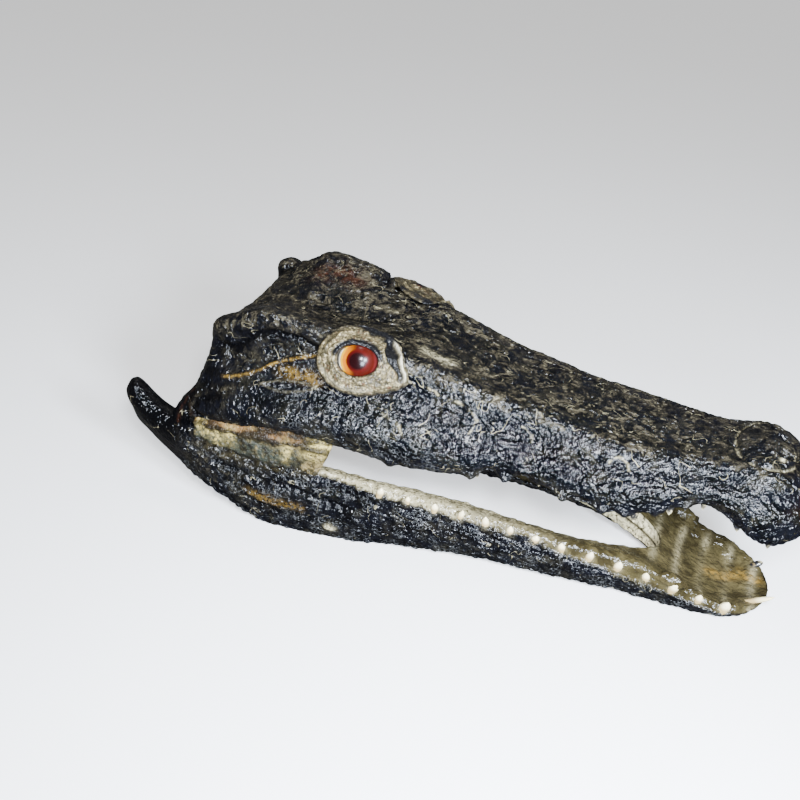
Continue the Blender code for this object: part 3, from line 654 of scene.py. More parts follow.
def jaw_half(pitch, around, deep_wall):
    """Left half of the closed jaw.  Its curve runs from the tray over the rim,
    down the cheek and under; inside the throat's outline, a superellipse of
    power 2.2, the curve stops at a wall that joins its two ends."""
    heel, shrink_heel = rounded(JAW_X[0] + HEEL_ROUND, HEEL_ROUND, int(14 / pitch), -1, 0.8)
    tip, shrink_tip = rounded(JAW_X[-1] - CHIN_ROUND, CHIN_ROUND, int(44 / pitch), 1)
    arch = ARCH_X - ARCH_LENGTH * (1 - np.sin(np.linspace(0, math.pi / 2, int(66 / pitch))))
    arms = np.linspace(heel[0], arch[0], int((arch[0] - heel[0]) / pitch))
    chin = np.linspace(ARCH_X, tip[0], int((tip[0] - ARCH_X) / pitch))
    x = np.concatenate([heel[::-1], arms[1:], arch[1:], chin[1:], tip[1:]])
    ends = np.concatenate([shrink_heel[::-1], np.ones(len(x) - len(heel))])
    tips = np.concatenate([np.ones(len(x) - len(tip) + 1), shrink_tip[1:]])
    at = {name: value(x) for name, value in jaw.items()}
    outer = (at["half"] - at["thick"] * 0.5 * (1 - ends ** 0.6)) * tips ** 0.9
    inner = np.maximum(outer - at["thick"] - 2, 0.3 * outer)
    level = (at["top"] + at["low"]) / 2
    shrink = tips ** 0.6 * ends ** 0.7
    top, low = level + (at["top"] - level) * shrink, level + (at["low"] - level) * shrink
    deep = top - low
    dip = TRAY_DIP * np.clip((x - ARCH_X + 20) / 40, 0, 1) * tips ** 1.6
    bevel = 0.06 + ARM_BEVEL * np.clip((ARCH_X - x) / 60, 0, 1)
    corners = np.stack([np.stack(pair, -1) for pair in (
        (0 * x, top - deep * 0.12 - dip), (inner, top - deep * 0.10 - dip),
        (inner * 0.5 + outer * 0.5, top - dip * 0.6), (outer * 0.93, top),
        (outer, top - deep * 0.2), (outer + 0.5 * tips, low + deep * 0.5),
        (outer * 0.93, low + deep * 0.13), (inner * 0.4 + outer * 0.6, low),
        (inner, low + deep * bevel), (0 * x, low + deep * bevel))])
    t = np.linspace(0, 9, 721)
    curve = through(corners, t)
    along = np.clip((ARCH_X - x) / ARCH_LENGTH, 0, 1)
    wall = (at["half"] - at["thick"]) * (1 - (1 - along) ** 2.2) ** (1 / 2.2)
    y = np.maximum(curve[..., 0], wall[:, None])
    z = curve[..., 1]
    length = np.cumsum(np.hypot(np.diff(y, axis=1), np.diff(z, axis=1)), 1)
    length = np.concatenate([0 * length[:, :1], length], 1)
    share = np.linspace(0, 1, around)
    rows = [np.stack([np.interp(share * run[-1], run, a) for a in (b, c, t)], -1)
            for run, b, c in zip(length, y, z)]
    skin = np.stack(rows)
    rise = np.linspace(0, 1, deep_wall + 2)[1:-1, None]
    inside = skin[:, -1:] * (1 - rise) + skin[:, :1] * rise
    inside[..., 2] = 9 + 5 * rise[:, 0]
    ring = np.concatenate([skin, inside], 1)
    grid = np.concatenate([np.broadcast_to(x[:, None, None], ring.shape[:2] + (1,)),
                           ring[..., :2]], -1)
    middle = (x >= ARCH_X)[:, None] & (grid[..., 1] < 1e-6)
    rear, front = closed_end(grid[0], 10, -1), closed_end(grid[-1], 6, 1)
    front[..., 1] *= (1 - middle[-1])
    front[-1, :, 1] = 0
    t = np.concatenate([np.repeat(ring[:1, :, 2], 10, 0), ring[..., 2],
                        np.repeat(ring[-1:, :, 2], 6, 0)])
    middle = np.concatenate([np.zeros((10, ring.shape[1]), bool), middle,
                             np.repeat(middle[-1:], 6, 0)])
    middle[-1] = True
    return np.concatenate([rear, grid, front]), t, middle


def swung(points):
    """Closed jaw to open jaw: turned by GAPE about the hinge."""
    c, s = math.cos(GAPE), math.sin(GAPE)
    return (points - HINGE) @ np.array([[c, 0, s], [0, 1, 0], [-s, 0, c]]).T + HINGE


# lines of the jaw's side, x and z, and of its front, x and y
GUM_EDGE = ((64, 0.5), (90, -2), (109, -2.6), (145, -2.7), (180, -2.2), (198, -4.8), (216, -7),
            (234, -9.2), (251, -10.8), (268, -12), (290, -15), (310, -16))
JAW_GROOVE = ((-4, -11.5), (9.5, -13.5), (26, -14.4), (45, -13.3), (63.7, -16), (82, -17.3))
THROAT_FOLD = ((3, -24.4), (20, -31.8), (39.6, -35.5), (64.7, -32.5), (80, -32.8))
JAW_GOLD = ((20, -26), (30, -25.7), (40, -27), (52, -26.6))
WEB_EDGE = ((-6, -6), (11.6, -6), (31, -4.4), (48.6, -2), (66, 2))
TRAY_PATCH = ((289, 1), (298, 3), (307, 10), (316, 6))
JAW_STRIPES = (((-18, -17), (0, -24), (16, -36)), ((-14, -12), (6, -19), (24, -28), (46, -31)),
               ((-8, -26), (8, -36), (28, -43)))
SWELL_AT, SWELL_REACH, LEFT_HEEL, HEEL_FROM = (267, 34.5, -4.5), (10, 4.5, 5), 0.5, -41
PALE_SCALE, BROWN_PATCH = (71, -37), (-22, -6)
LOWER_TEETH, CANINE, TOOTH_FROM, ROW_LENGTH = 15, 12, 97, 217
tooth_number = np.arange(LOWER_TEETH)
lower_x = (TOOTH_FROM + ROW_LENGTH * tooth_number / (LOWER_TEETH - 1)
           + 1.5 * np.sin(7 * tooth_number))


def jaw_relief(points, t):
    """Height of the jaw's surface in millimetres, and its tones: beads on the
    outer skin, fine creases on gum and tray, and a bell round each fold's
    line.  t is 0 in the tray's middle, 3 at the rim, 5 halfway down the
    outside, 8 underneath and more than 9 on the throat's wall."""
    x, y, z = np.moveaxis(points, -1, 0)
    lumps = noise(points, 24, 3) * 0.8 + noise(points, 11, 4) * 0.5
    loose = warped(points, 9, 2.0, 24)
    wrinkle = np.abs(noise(loose * [0.8, 1, 1], 4.6, 33)) ** 0.65
    beads = beaded(warped(points, 7, 0.9, 42) * [0.8, 1, 1], 3.3, 43)
    lobe = smooth(x, -24, -38)
    edge = np.interp(x, *np.transpose(GUM_EDGE)) + 2.2 * noise(points, 4.5, 58)
    outer = smooth(t, 3.0, 3.4) * smooth(t, 8.6, 7.8)
    gum = np.clip(1 - outer * smooth(z, edge + 1.2, edge - 1.2), 0, 1) * smooth(t, 7.5, 6.5)
    gum = gum * smooth(x, 40, 66) * (t < 9)
    front = outer * (1 - gum) * (1 - lobe)
    groove, throat, gold = (bell(off_path(points, line, 0, 2), width) * outer for line, width in (
        (JAW_GROOVE, 2.6), (THROAT_FOLD, 2.4), (JAW_GOLD, 3)))
    stripe = sum(bell(off_path(points, line, 0, 2), 1.3) for line in JAW_STRIPES) * outer
    scale = bell(np.hypot((x - PALE_SCALE[0]) / 1.5, z - PALE_SCALE[1]), 1.7) * outer
    patch = bell(np.hypot(x - BROWN_PATCH[0], z - BROWN_PATCH[1]), 14) * outer
    under_web = outer * smooth(x, -20, -8) * smooth(x, 70, 52)
    web_edge = np.interp(x, *np.transpose(WEB_EDGE))
    under_web = under_web * smooth(z, web_edge - 4, web_edge + 1)
    tray = bell(off_path(points, TRAY_PATCH, 0, 1), 3.5) * smooth(t, 3.0, 2.4)
    wall = (t >= 8.9) * smooth(x, 185, 215) * smooth(x, 266, 254)
    line = wall * bell(t - 11.2, 0.35)
    sockets = sum(bell(np.hypot(x - at, z - jaw["gum"](at)), 2.3) for at in lower_x) * (t < 5)
    rim = smooth(x, 240, 275) * smooth(t, 2.2, 2.8) * smooth(t, 5.2, 4.4)
    lumps = lumps + rim * (1.3 * noise(points, 6.5, 47) + 0.7 * noise(points, 3.2, 44))
    crest = smooth(t, 4.0, 3.3) * smooth(x, 60, 110) * smooth(x, 272, 250)
    height = (lumps + (0.5 + 0.5 * gum + 0.3 * under_web) * wrinkle
              + 1.3 * beads * (front + 0.6 * under_web) + 0.5 * sockets + 1.6 * crest
              - 1.8 * groove - 1.5 * throat + 0.5 * stripe + 0.7 * scale + 0.5 * gold - 0.6)
    tones = {
        "olive": np.clip(gum + (0.25 + 0.6 * noise(points, 6, 57)) * under_web
                         + 0.6 * (t >= 8.9) * smooth(x, -10, 30), 0, 1),
        "gold": np.clip(0.4 * gold + 0.8 * tray, 0, 1),
        "pale": np.clip(scale + wall * (1 - line) + 0.2 * sockets
                        + 0.4 * gum * smooth(x, 220, 90) * (t < 4.2), 0, 1),
        "brown": np.clip(0.5 * stripe + 0.4 * throat + 0.5 * patch, 0, 1),
        "rust": tray, "bead": front,
        # hollow: painted shade in the groove and the throat fold, black paint on the lobes, and darker on
        # the left side of the chin's rim
        "hollow": np.clip(groove * 0.8 + throat * 0.7 + lobe + 0.75 * rim * (y > 0) * (t > 3), 0, 1)}
    return height * (1 - 0.7 * lobe), tones


half, jaw_t, middle = jaw_half(PITCH, int(150 / PITCH), int(34 / PITCH))
split = int(np.argmax(half[:, 0, 0] >= CHIN_FROM))
sides = {}
for side, label in SIDES:
    grid = half * np.array([1, side, 1])
    if side > 0:
        heel = np.minimum(grid[..., 0] - HEEL_FROM, 0)
        grid = grid - np.stack([heel * (1 - LEFT_HEEL), 0 * heel, 0 * heel], -1)
    grid = swollen(grid, facing(grid) * side, np.array(SWELL_AT) * [1, side, 1], SWELL_REACH)
    height, tones = jaw_relief(grid, jaw_t)
    normal = facing(grid) * side
    normal[middle, 1] = 0
    tones["under"] = smooth(-normal[..., 2], 0.05, 0.5)
    grid = grid + normal * (height - HIDE_UNDER_BOX)[..., None]
    grid[middle, 1] = 0
    normal = facing(grid) * side
    normal[middle, 1] = 0
    length = np.linalg.norm(normal, axis=-1, keepdims=True)
    sides[label] = (swung(grid), swung(normal / np.maximum(length, 1e-9) + HINGE) - HINGE, tones)
    points, normals, tones = sides[label]
    arm = slice(0, split + 1)
    hide_piece(f"jaw_hide_{label}", points[arm], squares(split + 1, half.shape[1])[:, ::side],
               normals[arm], {key: value[arm] for key, value in tones.items()}, lacquer,
               "lacquered_hide", f"jaw_{label}", f"jaw_end_{label}")

rows = len(half) - split
count = rows * half.shape[1]
faces = squares(rows, half.shape[1])
inner_wall = middle[split:].ravel()
faces = faces[~inner_wall[faces].all(1)]
number = np.concatenate([np.arange(count), np.where(inner_wall, np.arange(count),
                                                    np.arange(count) + count)])
faces = number[np.concatenate([faces, faces[:, ::-1] + count])]
used, faces = np.unique(faces, return_inverse=True)
faces = faces.reshape(-1, 4)
both = [np.concatenate([sides[label][k][split:].reshape(-1, 3) for label in ("left", "right")])[used]
        for k in (0, 1)]
tones = {key: np.concatenate([sides[label][2][key][split:].ravel()
                              for label in ("left", "right")])[used] for key in hide_tones}
hide_piece("chin_hide", both[0], faces, both[1], tones, lacquer, "lacquered_hide", "chin")

# ---------------------------------------------------------------------------
# Nape skin: what is left of the neck, a dried fold from the back of each cheek
# down to the jaw's lobe, a flat tube along a bent line.
# ---------------------------------------------------------------------------
NAPE_PATH = ((-15, 54, 34), (-23.5, 56, 23), (-29, 57.5, 13), (-33, 58.5, 0))
NAPE_WIDE = (4.8, 7.4, 8.6, 6.6)

for side, label in SIDES:
    along = np.linspace(0, len(NAPE_PATH) - 1, int(44 / PITCH))
    middle_line = np.stack([np.interp(along, range(len(NAPE_PATH)), axis)
                            for axis in np.transpose(NAPE_PATH)], -1)
    for _ in range(4):
        middle_line[1:-1] = (middle_line[:-2] + 2 * middle_line[1:-1] + middle_line[2:]) / 4
    width = np.interp(along, range(len(NAPE_PATH)), NAPE_WIDE)
    width = width * np.clip(1 - (2 * along / along[-1] - 1) ** 8, 0, 1) ** 0.5
    turn = np.linspace(0, 2 * math.pi, int(32 / PITCH), endpoint=False)
    ahead = np.array([0.86, 0, 0.5])
    grid = (middle_line[:, None] + (width[:, None] * 1.25 * np.cos(turn))[..., None] * ahead
            + (width[:, None] * 0.45 * np.sin(turn))[..., None] * [0, 1, 0]) * [1, side, 1]
    ring = facing(grid)
    spokes = grid - grid.mean(1, keepdims=True)
    sign = int(np.sign(np.sum((ring * spokes)[len(ring) // 2])))
    crumple = noise(grid * [1, 1, 0.4], 3.2, 70) * 0.8 + noise(grid, 6, 71) * 0.6
    crumple = crumple * np.sin(math.pi * along / along[-1])[:, None]
    grid = grid + ring * sign * crumple[..., None]
    rust = bell(np.sin(turn * 1.5 + 0.4) + 0 * along[:, None], 0.25) * 0.9
    tones = {key: 0 * rust for key in hide_tones} | {"rust": rust, "hollow": 0.6 * (1 - rust)}
    tube_piece(f"nape_skin_{label}", grid, sign, tones, lacquer, "lacquered_hide")

# ---------------------------------------------------------------------------
# Corners of the mouth: webs of tan skin left without lacquer, stretched from lip
# to jaw at the back of the gape, thin, puckered, and tucked in at both edges.
# ---------------------------------------------------------------------------
WEB_BACK, WEB_FRONT, WEB_THICK, WEB_SLANT = -22, 70, 3.4, 12
WEB_BLOBS = ((-12, 0.45), (-4, 0.62), (5, 0.42), (-16, 0.3), (44, 0.5))

WEB_DARK, WEB_TAN, WEB_GREY = (0.016, 0.013, 0.006, 1), (0.100, 0.074, 0.030, 1), (0.016, 0.018, 0.013, 1)
WEB_PIT, WEB_RED, WEB_PALE = (0.006, 0.005, 0.003, 1), (0.12, 0.062, 0.022, 1), (0.31, 0.24, 0.075, 1)
WEB_CREASE_SHADE = (0.003, 0.0025, 0.002, 1)

web, shader, spot = finish("dried_tan_skin")
speck = grain(spot, 520, 3, 0.7)
colour = grain(spot, 120, 4, 0.75, 0.6).ease(0.40, 0.60).tint(WEB_DARK, WEB_TAN)
colour = (tone(spot, "low") * grain(spot, 240, 3, 0.7).ease(0.25, 0.55)).tint(colour, WEB_GREY)
colour = (grain(spot, 230, 4, 0.75, 0.5).ease(0.48, 0.60) * 0.9).tint(colour, WEB_PIT)
colour = (tone(spot, "strip") * grain(spot, 170, 3, 0.7).ease(0.3, 0.6) * 0.85).tint(colour, WEB_RED)
colour = (tone(spot, "pale") * speck.ease(0.36, 0.56)).tint(colour, WEB_PALE)
# Painted shade: darker in the web's creases and along its lower edge.
colour = (tone(spot, "deep") * 0.9).tint(colour, WEB_CREASE_SHADE)
pucker = grain(spot, 300, 3, 0.7, 0.6) * 1.6 + speck * 0.5
bump = spot.add("Bump", {}, {"Height": pucker, "Strength": 0.9, "Distance": 0.0014})
connect(shader, Base_Color=colour, Roughness=grain(spot, 200, 2) * 0.3 + 0.16,
        Specular_IOR_Level=0.13, Normal=bump)

for side, label in SIDES:
    x = np.linspace(WEB_BACK, WEB_FRONT, int(88 / PITCH / 0.9))[:, None]
    turn = np.linspace(0, 2 * math.pi, int(90 / PITCH), endpoint=False)[None]
    top = head["lip_z"](x) + 2.5
    low = jaw["top"](x) - (x - HINGE[0]) * math.sin(GAPE) - 1.5 - 5.5 * smooth(x, 62, 30)
    across_web = np.sign(np.cos(turn)) * np.abs(np.cos(turn)) ** 0.5
    up_web = np.sign(np.sin(turn)) * np.abs(np.sin(turn)) ** 0.9
    drop = (1 - up_web) / 2
    middle_y = (head["lip_half"](x) - 5.5) * (1 - drop) + (jaw["half"](x) - 1.4) * drop
    end = smooth(x, WEB_FRONT, WEB_FRONT - 3) ** 0.5 * smooth(x, WEB_BACK, WEB_BACK + 3) ** 0.5
    sag = 1.6 * np.cos(up_web * math.pi / 2) * end
    y = middle_y + across_web * WEB_THICK / 2 * end + sag
    z = (top + low) / 2 + up_web * (top - low) / 2 * (0.9 + 0.1 * end)
    slant = WEB_SLANT * (1 - up_web) / 2 * smooth(x, 20, WEB_FRONT)
    grid = np.stack([x - slant, y * side, z], -1)
    depth = (1 - up_web) / 2 + 0.06 * noise(grid, 9, 53)
    strip = smooth(depth, 0.40, 0.26) * smooth(x, 60, 48)
    fold = noise(warped(grid * [0.35, 1, 1], 12, 3, 50), 5, 51) * 1.5
    fold = fold + noise(grid, 2.6, 52) * 0.6
    near = cells(warped(grid, 6, 0.8, 54), 2.7, 55)[0]
    fold = fold + np.clip(1.1 - near, 0, 1) ** 0.5 * 1.1 * smooth(depth, 0.35, 0.55) - 0.4
    fold = fold - 1.1 * bell(depth - 0.36, 0.05)
    grid = grid + facing(grid) * side * (fold * end)[..., None]
    grid[0], grid[-1] = grid[0].mean(0), grid[-1].mean(0)
    blobs = sum(bell(np.hypot(x - at, (depth - deep) * 14), 3.2) for at, deep in WEB_BLOBS)
    pale = smooth(x, 50, 60) * smooth(depth, 0.75, 0.35) + 0.9 * blobs
    pale = pale * (0.75 + 0.9 * noise(grid, 5, 56))
    shaded = smooth(depth, 0.78, 0.96) * smooth(x, 64, 50)
    tones = {"pale": np.clip(pale, 0, 1), "strip": strip + 0 * turn,
             # deep: painted shade in the creases and along the lower edge
             "deep": np.maximum(smooth(fold, 0.1, -0.8), shaded),
             "low": smooth(depth, 0.36, 0.55) * smooth(x, 62, 50)}
    tube_piece(f"mouth_corner_skin_{label}", grid, side, tones, web, "dry_flesh",
               f"mouth_corner_{label}")

# ---------------------------------------------------------------------------
# Eyelids: a thick ring of grey-tan granular skin round each glass eye, left
# without lacquer, with a rolled margin and folds that circle the opening.
# ---------------------------------------------------------------------------
EYE_R, LID_OPENING, LID_WRAP = 12.5, (11.2, 8.3), math.radians(125)

LID_BROWN, LID_TAN, LID_RED = (0.022, 0.018, 0.009, 1), (0.112, 0.088, 0.042, 1), (0.050, 0.017, 0.008, 1)
LID_PIT, LID_FLECK, LID_CREASE_SHADE = (0.014, 0.012, 0.007, 1), (0.25, 0.205, 0.11, 1), (0.012, 0.010, 0.006, 1)
LID_PALE_AND_HIGHLIGHT, LID_BLACK_AND_SHADE = (0.34, 0.31, 0.22, 1), (0.0025, 0.0025, 0.003, 1)

lid, shader, spot = finish("granular_eyelid_skin")
speck = spot.add("TexVoronoi", {}, {"Vector": spot, "Scale": 620}, "Distance")
colour = grain(spot, 200, 4, 0.75, 0.6).ease(0.40, 0.60).tint(LID_BROWN, LID_TAN)
# Painted light among these: the deep tone is painted shade in the creases, the black tone painted shade at
# the glass, in the corner pockets and along the upper margin, and the pale tone a painted highlight on the
# near lid's front rim.
for mask, shade in ((grain(spot, 260, 3, 0.7).ease(0.54, 0.66) * 0.8, LID_RED),
                    (speck.ease(0.25, 0.6) * 0.5, LID_PIT),
                    (grain(spot, 620, 3, 0.7).ease(0.52, 0.62) * 0.7, LID_FLECK),
                    (grain(spot, 150, 4, 0.75, 0.8).ease(0.52, 0.62) * 0.75, LID_PIT),
                    (tone(spot, "deep") * 0.8, LID_CREASE_SHADE), (tone(spot, "pale"), LID_PALE_AND_HIGHLIGHT),
                    (tone(spot, "dark"), LID_BLACK_AND_SHADE)):
    colour = mask.tint(colour, shade)
bump = spot.add("Bump", {}, {"Height": grain(spot, 900, 2) - speck, "Strength": 0.7,
                             "Distance": 0.0008})
connect(shader, Base_Color=colour, Roughness=grain(spot, 300, 2) * 0.3 + 0.2,
        Specular_IOR_Level=0.2, Normal=bump)

for side, label in SIDES:
    axes = eye_axes(side)
    turn = np.linspace(0, 2 * math.pi, int(168 / PITCH), endpoint=False)[None]
    a0 = LID_OPENING[0] * np.cos(turn)
    b0 = LID_OPENING[1] * np.sin(turn)
    q0 = np.hypot(a0 / LID_REACH[0], b0 / LID_REACH[1])
    start = np.arcsin(q0)
    share = np.linspace(0, 1, int(60 / PITCH))[:, None]
    tilt = start + (LID_WRAP - start) * share ** 1.1
    q = np.sin(tilt)
    ahead = np.arctan2(b0 / LID_REACH[1], a0 / LID_REACH[0]) + 0 * q
    drawn = 1 + (almond(a0, b0) - 1) * smooth(q, 0.5, 0.95)
    ragged = np.stack([np.cos(turn), np.sin(turn), 0 * turn], -1)
    drawn = drawn * (1 + 0.05 * noise(ragged, 0.45, 66) * smooth(q, 0.6, 1))
    a, b = (a0 / q0) * q * drawn, (b0 / q0) * q * drawn
    dome = LID_SEAT + LID_REACH[2] * np.cos(tilt)
    away = np.hypot(a - a0, b - b0) * (tilt < math.pi / 2) + 9 * (tilt >= math.pi / 2)
    on_ball = np.sqrt((EYE_R - 0.4) ** 2 - a0 ** 2 - b0 ** 2)
    curl = np.clip(away / 2.0, 0, 1)
    c = on_ball + (dome - on_ball) * np.sqrt(1 - (1 - curl) ** 2)
    local = np.stack([a, b, c], -1)
    standing = local @ axes + np.array(EYE_AT) * [1, side, 1]
    grid = laid_in(standing, side)
    outwards = facing(grid)
    sign = int(np.sign(np.sum(outwards[len(share) // 2] @ axes[2])))
    skirt = tilt < math.pi / 2
    corner = smooth(ahead, -0.52, -0.30) * smooth(ahead, 1.05, 0.80) * skirt
    edge = 0.66 + 0.16 * smooth(ahead, 0.2, -0.35) + 0.18 * smooth(ahead, 0.55, 1.0)
    pocket = corner * smooth(q, edge, edge + 0.06) * smooth(q, 0.95, 0.89)
    rim = smooth(ahead, -0.45, -0.25) * smooth(ahead, 1.15, 0.80) * bell(q - 0.95, 0.02) * skirt
    over = standing[..., 2] - head["edge_z"](standing[..., 0]) + 2.5 * noise(grid, 4, 67)
    laid_over = smooth(over, 5, 8)
    folds = np.sin(away * 1.7 + 2.4 * noise(grid, 9, 60)) * 0.3 * smooth(away, 0.8, 3)
    near = cells(warped(grid, 5, 0.6, 64), 1.9, 61)[0]
    height = (folds + np.clip(1 - near, 0, 1) * 0.6 * smooth(away, 0.3, 2) * (1 - pocket)
              + noise(grid, 6, 62) * 0.6 + noise(grid, 3, 63) * 0.3 - 1.8 * pocket + 0.8 * rim
              + 0.7 * bell(away - 1.6, 1.0))
    flat = (side > 0) * smooth(over, -2, 1) * smooth(noise(grid, 7, 68), 0.35, -0.25)
    height = height - 0.8 * (side > 0) * smooth(over, -2, 1)
    grid = grid + outwards * sign * (height * smooth(share, 0, 0.08))[..., None]
    far_edge = smooth(q, 0.90, 1.0) * (1 - corner) + (tilt >= math.pi / 2)
    # Painted shade: dark in the seam at the glass, in the pockets at the lids' corners and along the upper
    # margin over the eye. The ring is also darker at its outer edge and where it lies on the roof.
    dark = (smooth(away, 0.7, 0.1) + 0.97 * pocket + 0.85 * far_edge + 0.95 * laid_over
            + smooth(away, 4.2, 3.0) * smooth(b, 0.0, 3.5))
    # A pale band low on each lid.
    pale_low_band = 0.2 * bell(q - 0.86, 0.05) * (b < -6) * (a < 10)
    # deep: painted shade in the lids' creases, darker where the skin lies low
    tones = {"deep": smooth(height - 0.7 * bell(away - 1.6, 1.0), 0.05, -0.5),
             # pale: a painted highlight along the near lid's front rim, with the pale low band
             "pale": np.clip(0.9 * rim * (side < 0) + pale_low_band, 0, 1),
             "dark": np.clip(dark, 0, 1) * (1 - 0.85 * flat)}
    tube_piece(f"eyelids_{label}", grid, sign, tones, lid, "eyelid_hide", f"upper_lid_{label}",
               f"lower_lid_{label}")

# ---------------------------------------------------------------------------
# Glass eyes: blown balls, painted behind with an orange iris that reddens to
# the front, a dark red-brown pupil and a black rim, and clear glass outside.
# Light through the glass is painted in: yellow and cream at the iris's back edge.
# ---------------------------------------------------------------------------
IRIS_R, PUPIL_R, PUPIL_AHEAD = 11.0, 6.2, 0.9
AMBER, DEEP_RED, EMBER = (0.30, 0.088, 0.0, 1), (0.014, 0.0008, 0.0008, 1), (0.09, 0.010, 0.001, 1)
PAINTED_GLOW_YELLOW, PAINTED_GLOW_CREAM, WINE = (0.56, 0.28, 0.0, 1), (0.85, 0.80, 0.66, 1), (0.06, 0.008, 0.008, 1)
PUPIL_RIM, PUPIL, EYE_BLACK = (0.026, 0.0015, 0.001, 1), (0.004, 0.0006, 0.0008, 1), (0.006, 0.005, 0.005, 1)

glass, shader, spot = finish("painted_glass_eye")
out_from = tone(spot, "from_axis")
ahead = tone(spot, "ahead")
from_pupil, ring = tone(spot, "from_pupil"), PUPIL_R / IRIS_R
# The iris is orange at the back and dark red at the front. Its brightness to the back is partly painted
# light, and the yellow and the cream sliver at its back edge are painted light, where light through the
# glass would fall.
iris = ahead.ease(-0.72, 0.0).tint(AMBER, DEEP_RED)
for mask, shade in ((grain(spot, 420, 3, 0.7) * 0.2, EMBER),
                    (out_from.ease(0.66, 0.84) * ahead.ease(-0.45, -0.72), PAINTED_GLOW_YELLOW),
                    (out_from.ease(0.84, 0.94) * ahead.ease(-0.6, -0.85), PAINTED_GLOW_CREAM),
                    (out_from.ease(0.82, 0.97) * ahead.ease(0.1, 0.7), WINE),
                    (from_pupil.ease(ring + 0.07, ring - 0.03), PUPIL_RIM),
                    (from_pupil.ease(ring * 0.95, ring * 0.6), PUPIL),
                    (out_from.ease(1.05, 1.15), EYE_BLACK)):
    iris = mask.tint(iris, shade)
connect(shader, Base_Color=iris, Roughness=out_from * 0.15 + 0.2, Specular_IOR_Level=0.1,
        Coat_Weight=0.14, Coat_Roughness=0.03, Coat_IOR=1.38)

for side, label in SIDES:
    axes = eye_axes(side)
    turn = np.linspace(0, 2 * math.pi, 96, endpoint=False)[None]
    tilt = np.linspace(0, math.pi, 72)[:, None]
    local = EYE_R * np.stack([np.sin(tilt) * np.cos(turn), np.sin(tilt) * np.sin(turn),
                              np.cos(tilt) + 0 * turn], -1)
    grid = local @ axes + np.array(EYE_AT) * [1, side, 1]
    outwards = facing(grid)
    sign = int(np.sign(np.sum(outwards[20] @ axes[2])))
    behind = 9 * (local[..., 2] < 0)
    from_axis = np.hypot(local[..., 0], local[..., 1]) / IRIS_R + behind
    from_pupil = np.hypot(local[..., 0] - PUPIL_AHEAD, local[..., 1]) / IRIS_R + behind
    hide_piece(f"glass_eye_{label}", grid, squares(*grid.shape[:2])[:, ::sign], None,
               {"from_axis": from_axis, "from_pupil": from_pupil, "ahead": local[..., 0] / IRIS_R},
               glass, "eye_glass", f"eye_{label}")

# ---------------------------------------------------------------------------
# Teeth: small blunt cones of cream ivory, yellow at the root, standing in the
# gum of both jaws; the twelfth below and the front pair are the largest.
# ---------------------------------------------------------------------------
UPPER_TEETH, UPPER_LENGTH, LONG_TOOTH, FRONT_PAIR = 14, 227, 8.5, [1.5, -5, 3]
TOOTH_ROOT, TOOTH_TIP, TOOTH_STAIN = (0.24, 0.17, 0.07, 1), (0.54, 0.47, 0.28, 1), (0.32, 0.25, 0.12, 1)
LACQUERED = (0.004, 0.004, 0.005, 1)

ivory, shader, spot = finish("tooth_ivory")
colour = tone(spot, "up").ease(0.0, 0.6).tint(TOOTH_ROOT, TOOTH_TIP)
colour = (grain(spot, 500, 3).ease(0.45, 0.7) * 0.45).tint(colour, TOOTH_STAIN)
colour = (tone(spot, "painted") * grain(spot, 300, 3).ease(0.2, 0.5)).tint(colour, LACQUERED)
bump = spot.add("Bump", {}, {"Height": grain(spot, 1500, 2), "Strength": 0.2, "Distance": 0.0002})
connect(shader, Base_Color=colour, Roughness=grain(spot, 400, 2) * 0.2 + 0.18,
        Coat_Weight=0.6, Coat_Roughness=0.08, Normal=bump)


def end_width(x, tip, length):
    """How far a rounded end has narrowed the jaw at x: a superellipse."""
    return (1 - np.clip((x - tip + length) / length, 0, 1) ** 2) ** 0.45


def tooth_row(at, height, lean, width):
    """Cones for a row of teeth: each ring is carried up a line that leans, and
    its radius falls as the cosine of the height to the power 1.4.  Sines of
    the tooth's number make every one a little different."""
    odd = np.arange(len(at))
    height, width = height * (1 + 0.22 * np.sin(5 * odd)), width * (1 + 0.2 * np.sin(3 * odd + 1))
    lean = lean + 0.12 * np.stack([np.sin(4 * odd + 2), np.cos(6 * odd)], -1)
    s = np.linspace(-0.7, 1, 9)[None, :, None]
    turn = np.linspace(0, 2 * math.pi, 10, endpoint=False)[None, None]
    radius = width[:, None, None] / 2 * np.cos(np.clip(s, 0, 1) ** 1.4 * math.pi / 2) ** 0.8
    radius = radius * (1 - 0.12 * np.clip(-s, 0, 1)) + 0 * turn
    lift = s + 0 * turn
    curve = np.clip(s, 0, 1) ** 2 * 0.12 * height[:, None, None]
    leant = lean[..., None, None] * np.abs(height)[:, None, None, None] * lift[:, None]
    x = at[:, 0, None, None] + leant[:, 0] + radius * 1.1 * np.cos(turn) - curve * 0.3
    y = at[:, 1, None, None] + leant[:, 1] + radius * 0.9 * np.sin(turn)
    z = at[:, 2, None, None] + height[:, None, None] * lift
    return np.stack([x, y, z], -1), np.broadcast_to(s, x.shape)


share = tooth_number / (LOWER_TEETH - 1)
x = lower_x
front = np.clip((x - 296) / 18, 0, 1)
lower_at = np.stack([x, jaw["half"](x) * end_width(x, JAW_X[-1], CHIN_ROUND) * 0.97, jaw["gum"](x)], -1)
tall = 5.0 + 1.5 * share
tall[[CANINE - 1, LOWER_TEETH - 1]] = LONG_TOOTH
lower_at[-1] += FRONT_PAIR
lower = (lower_at, tall, np.stack([0.7 * front + 0.05, 0 * x + 0.30], -1), 3.6 + 1.6 * share)
share = np.arange(UPPER_TEETH) / (UPPER_TEETH - 1)
x = TOOTH_FROM + UPPER_LENGTH * share
swell = bell(x - 238, 22)
upper_at = np.stack([x, head["lip_half"](x) * end_width(x, HEAD_X[-1], NOSE_ROUND) - 4.6,
                     head["lip_z"](x) + 1.5], -1)
upper = (upper_at, -(5.5 + 3.0 * swell + 4.0 * bell(x - 286, 20)),
         np.stack([0 * x, 0 * x + 0.02], -1), 4.0 + 1.4 * swell)

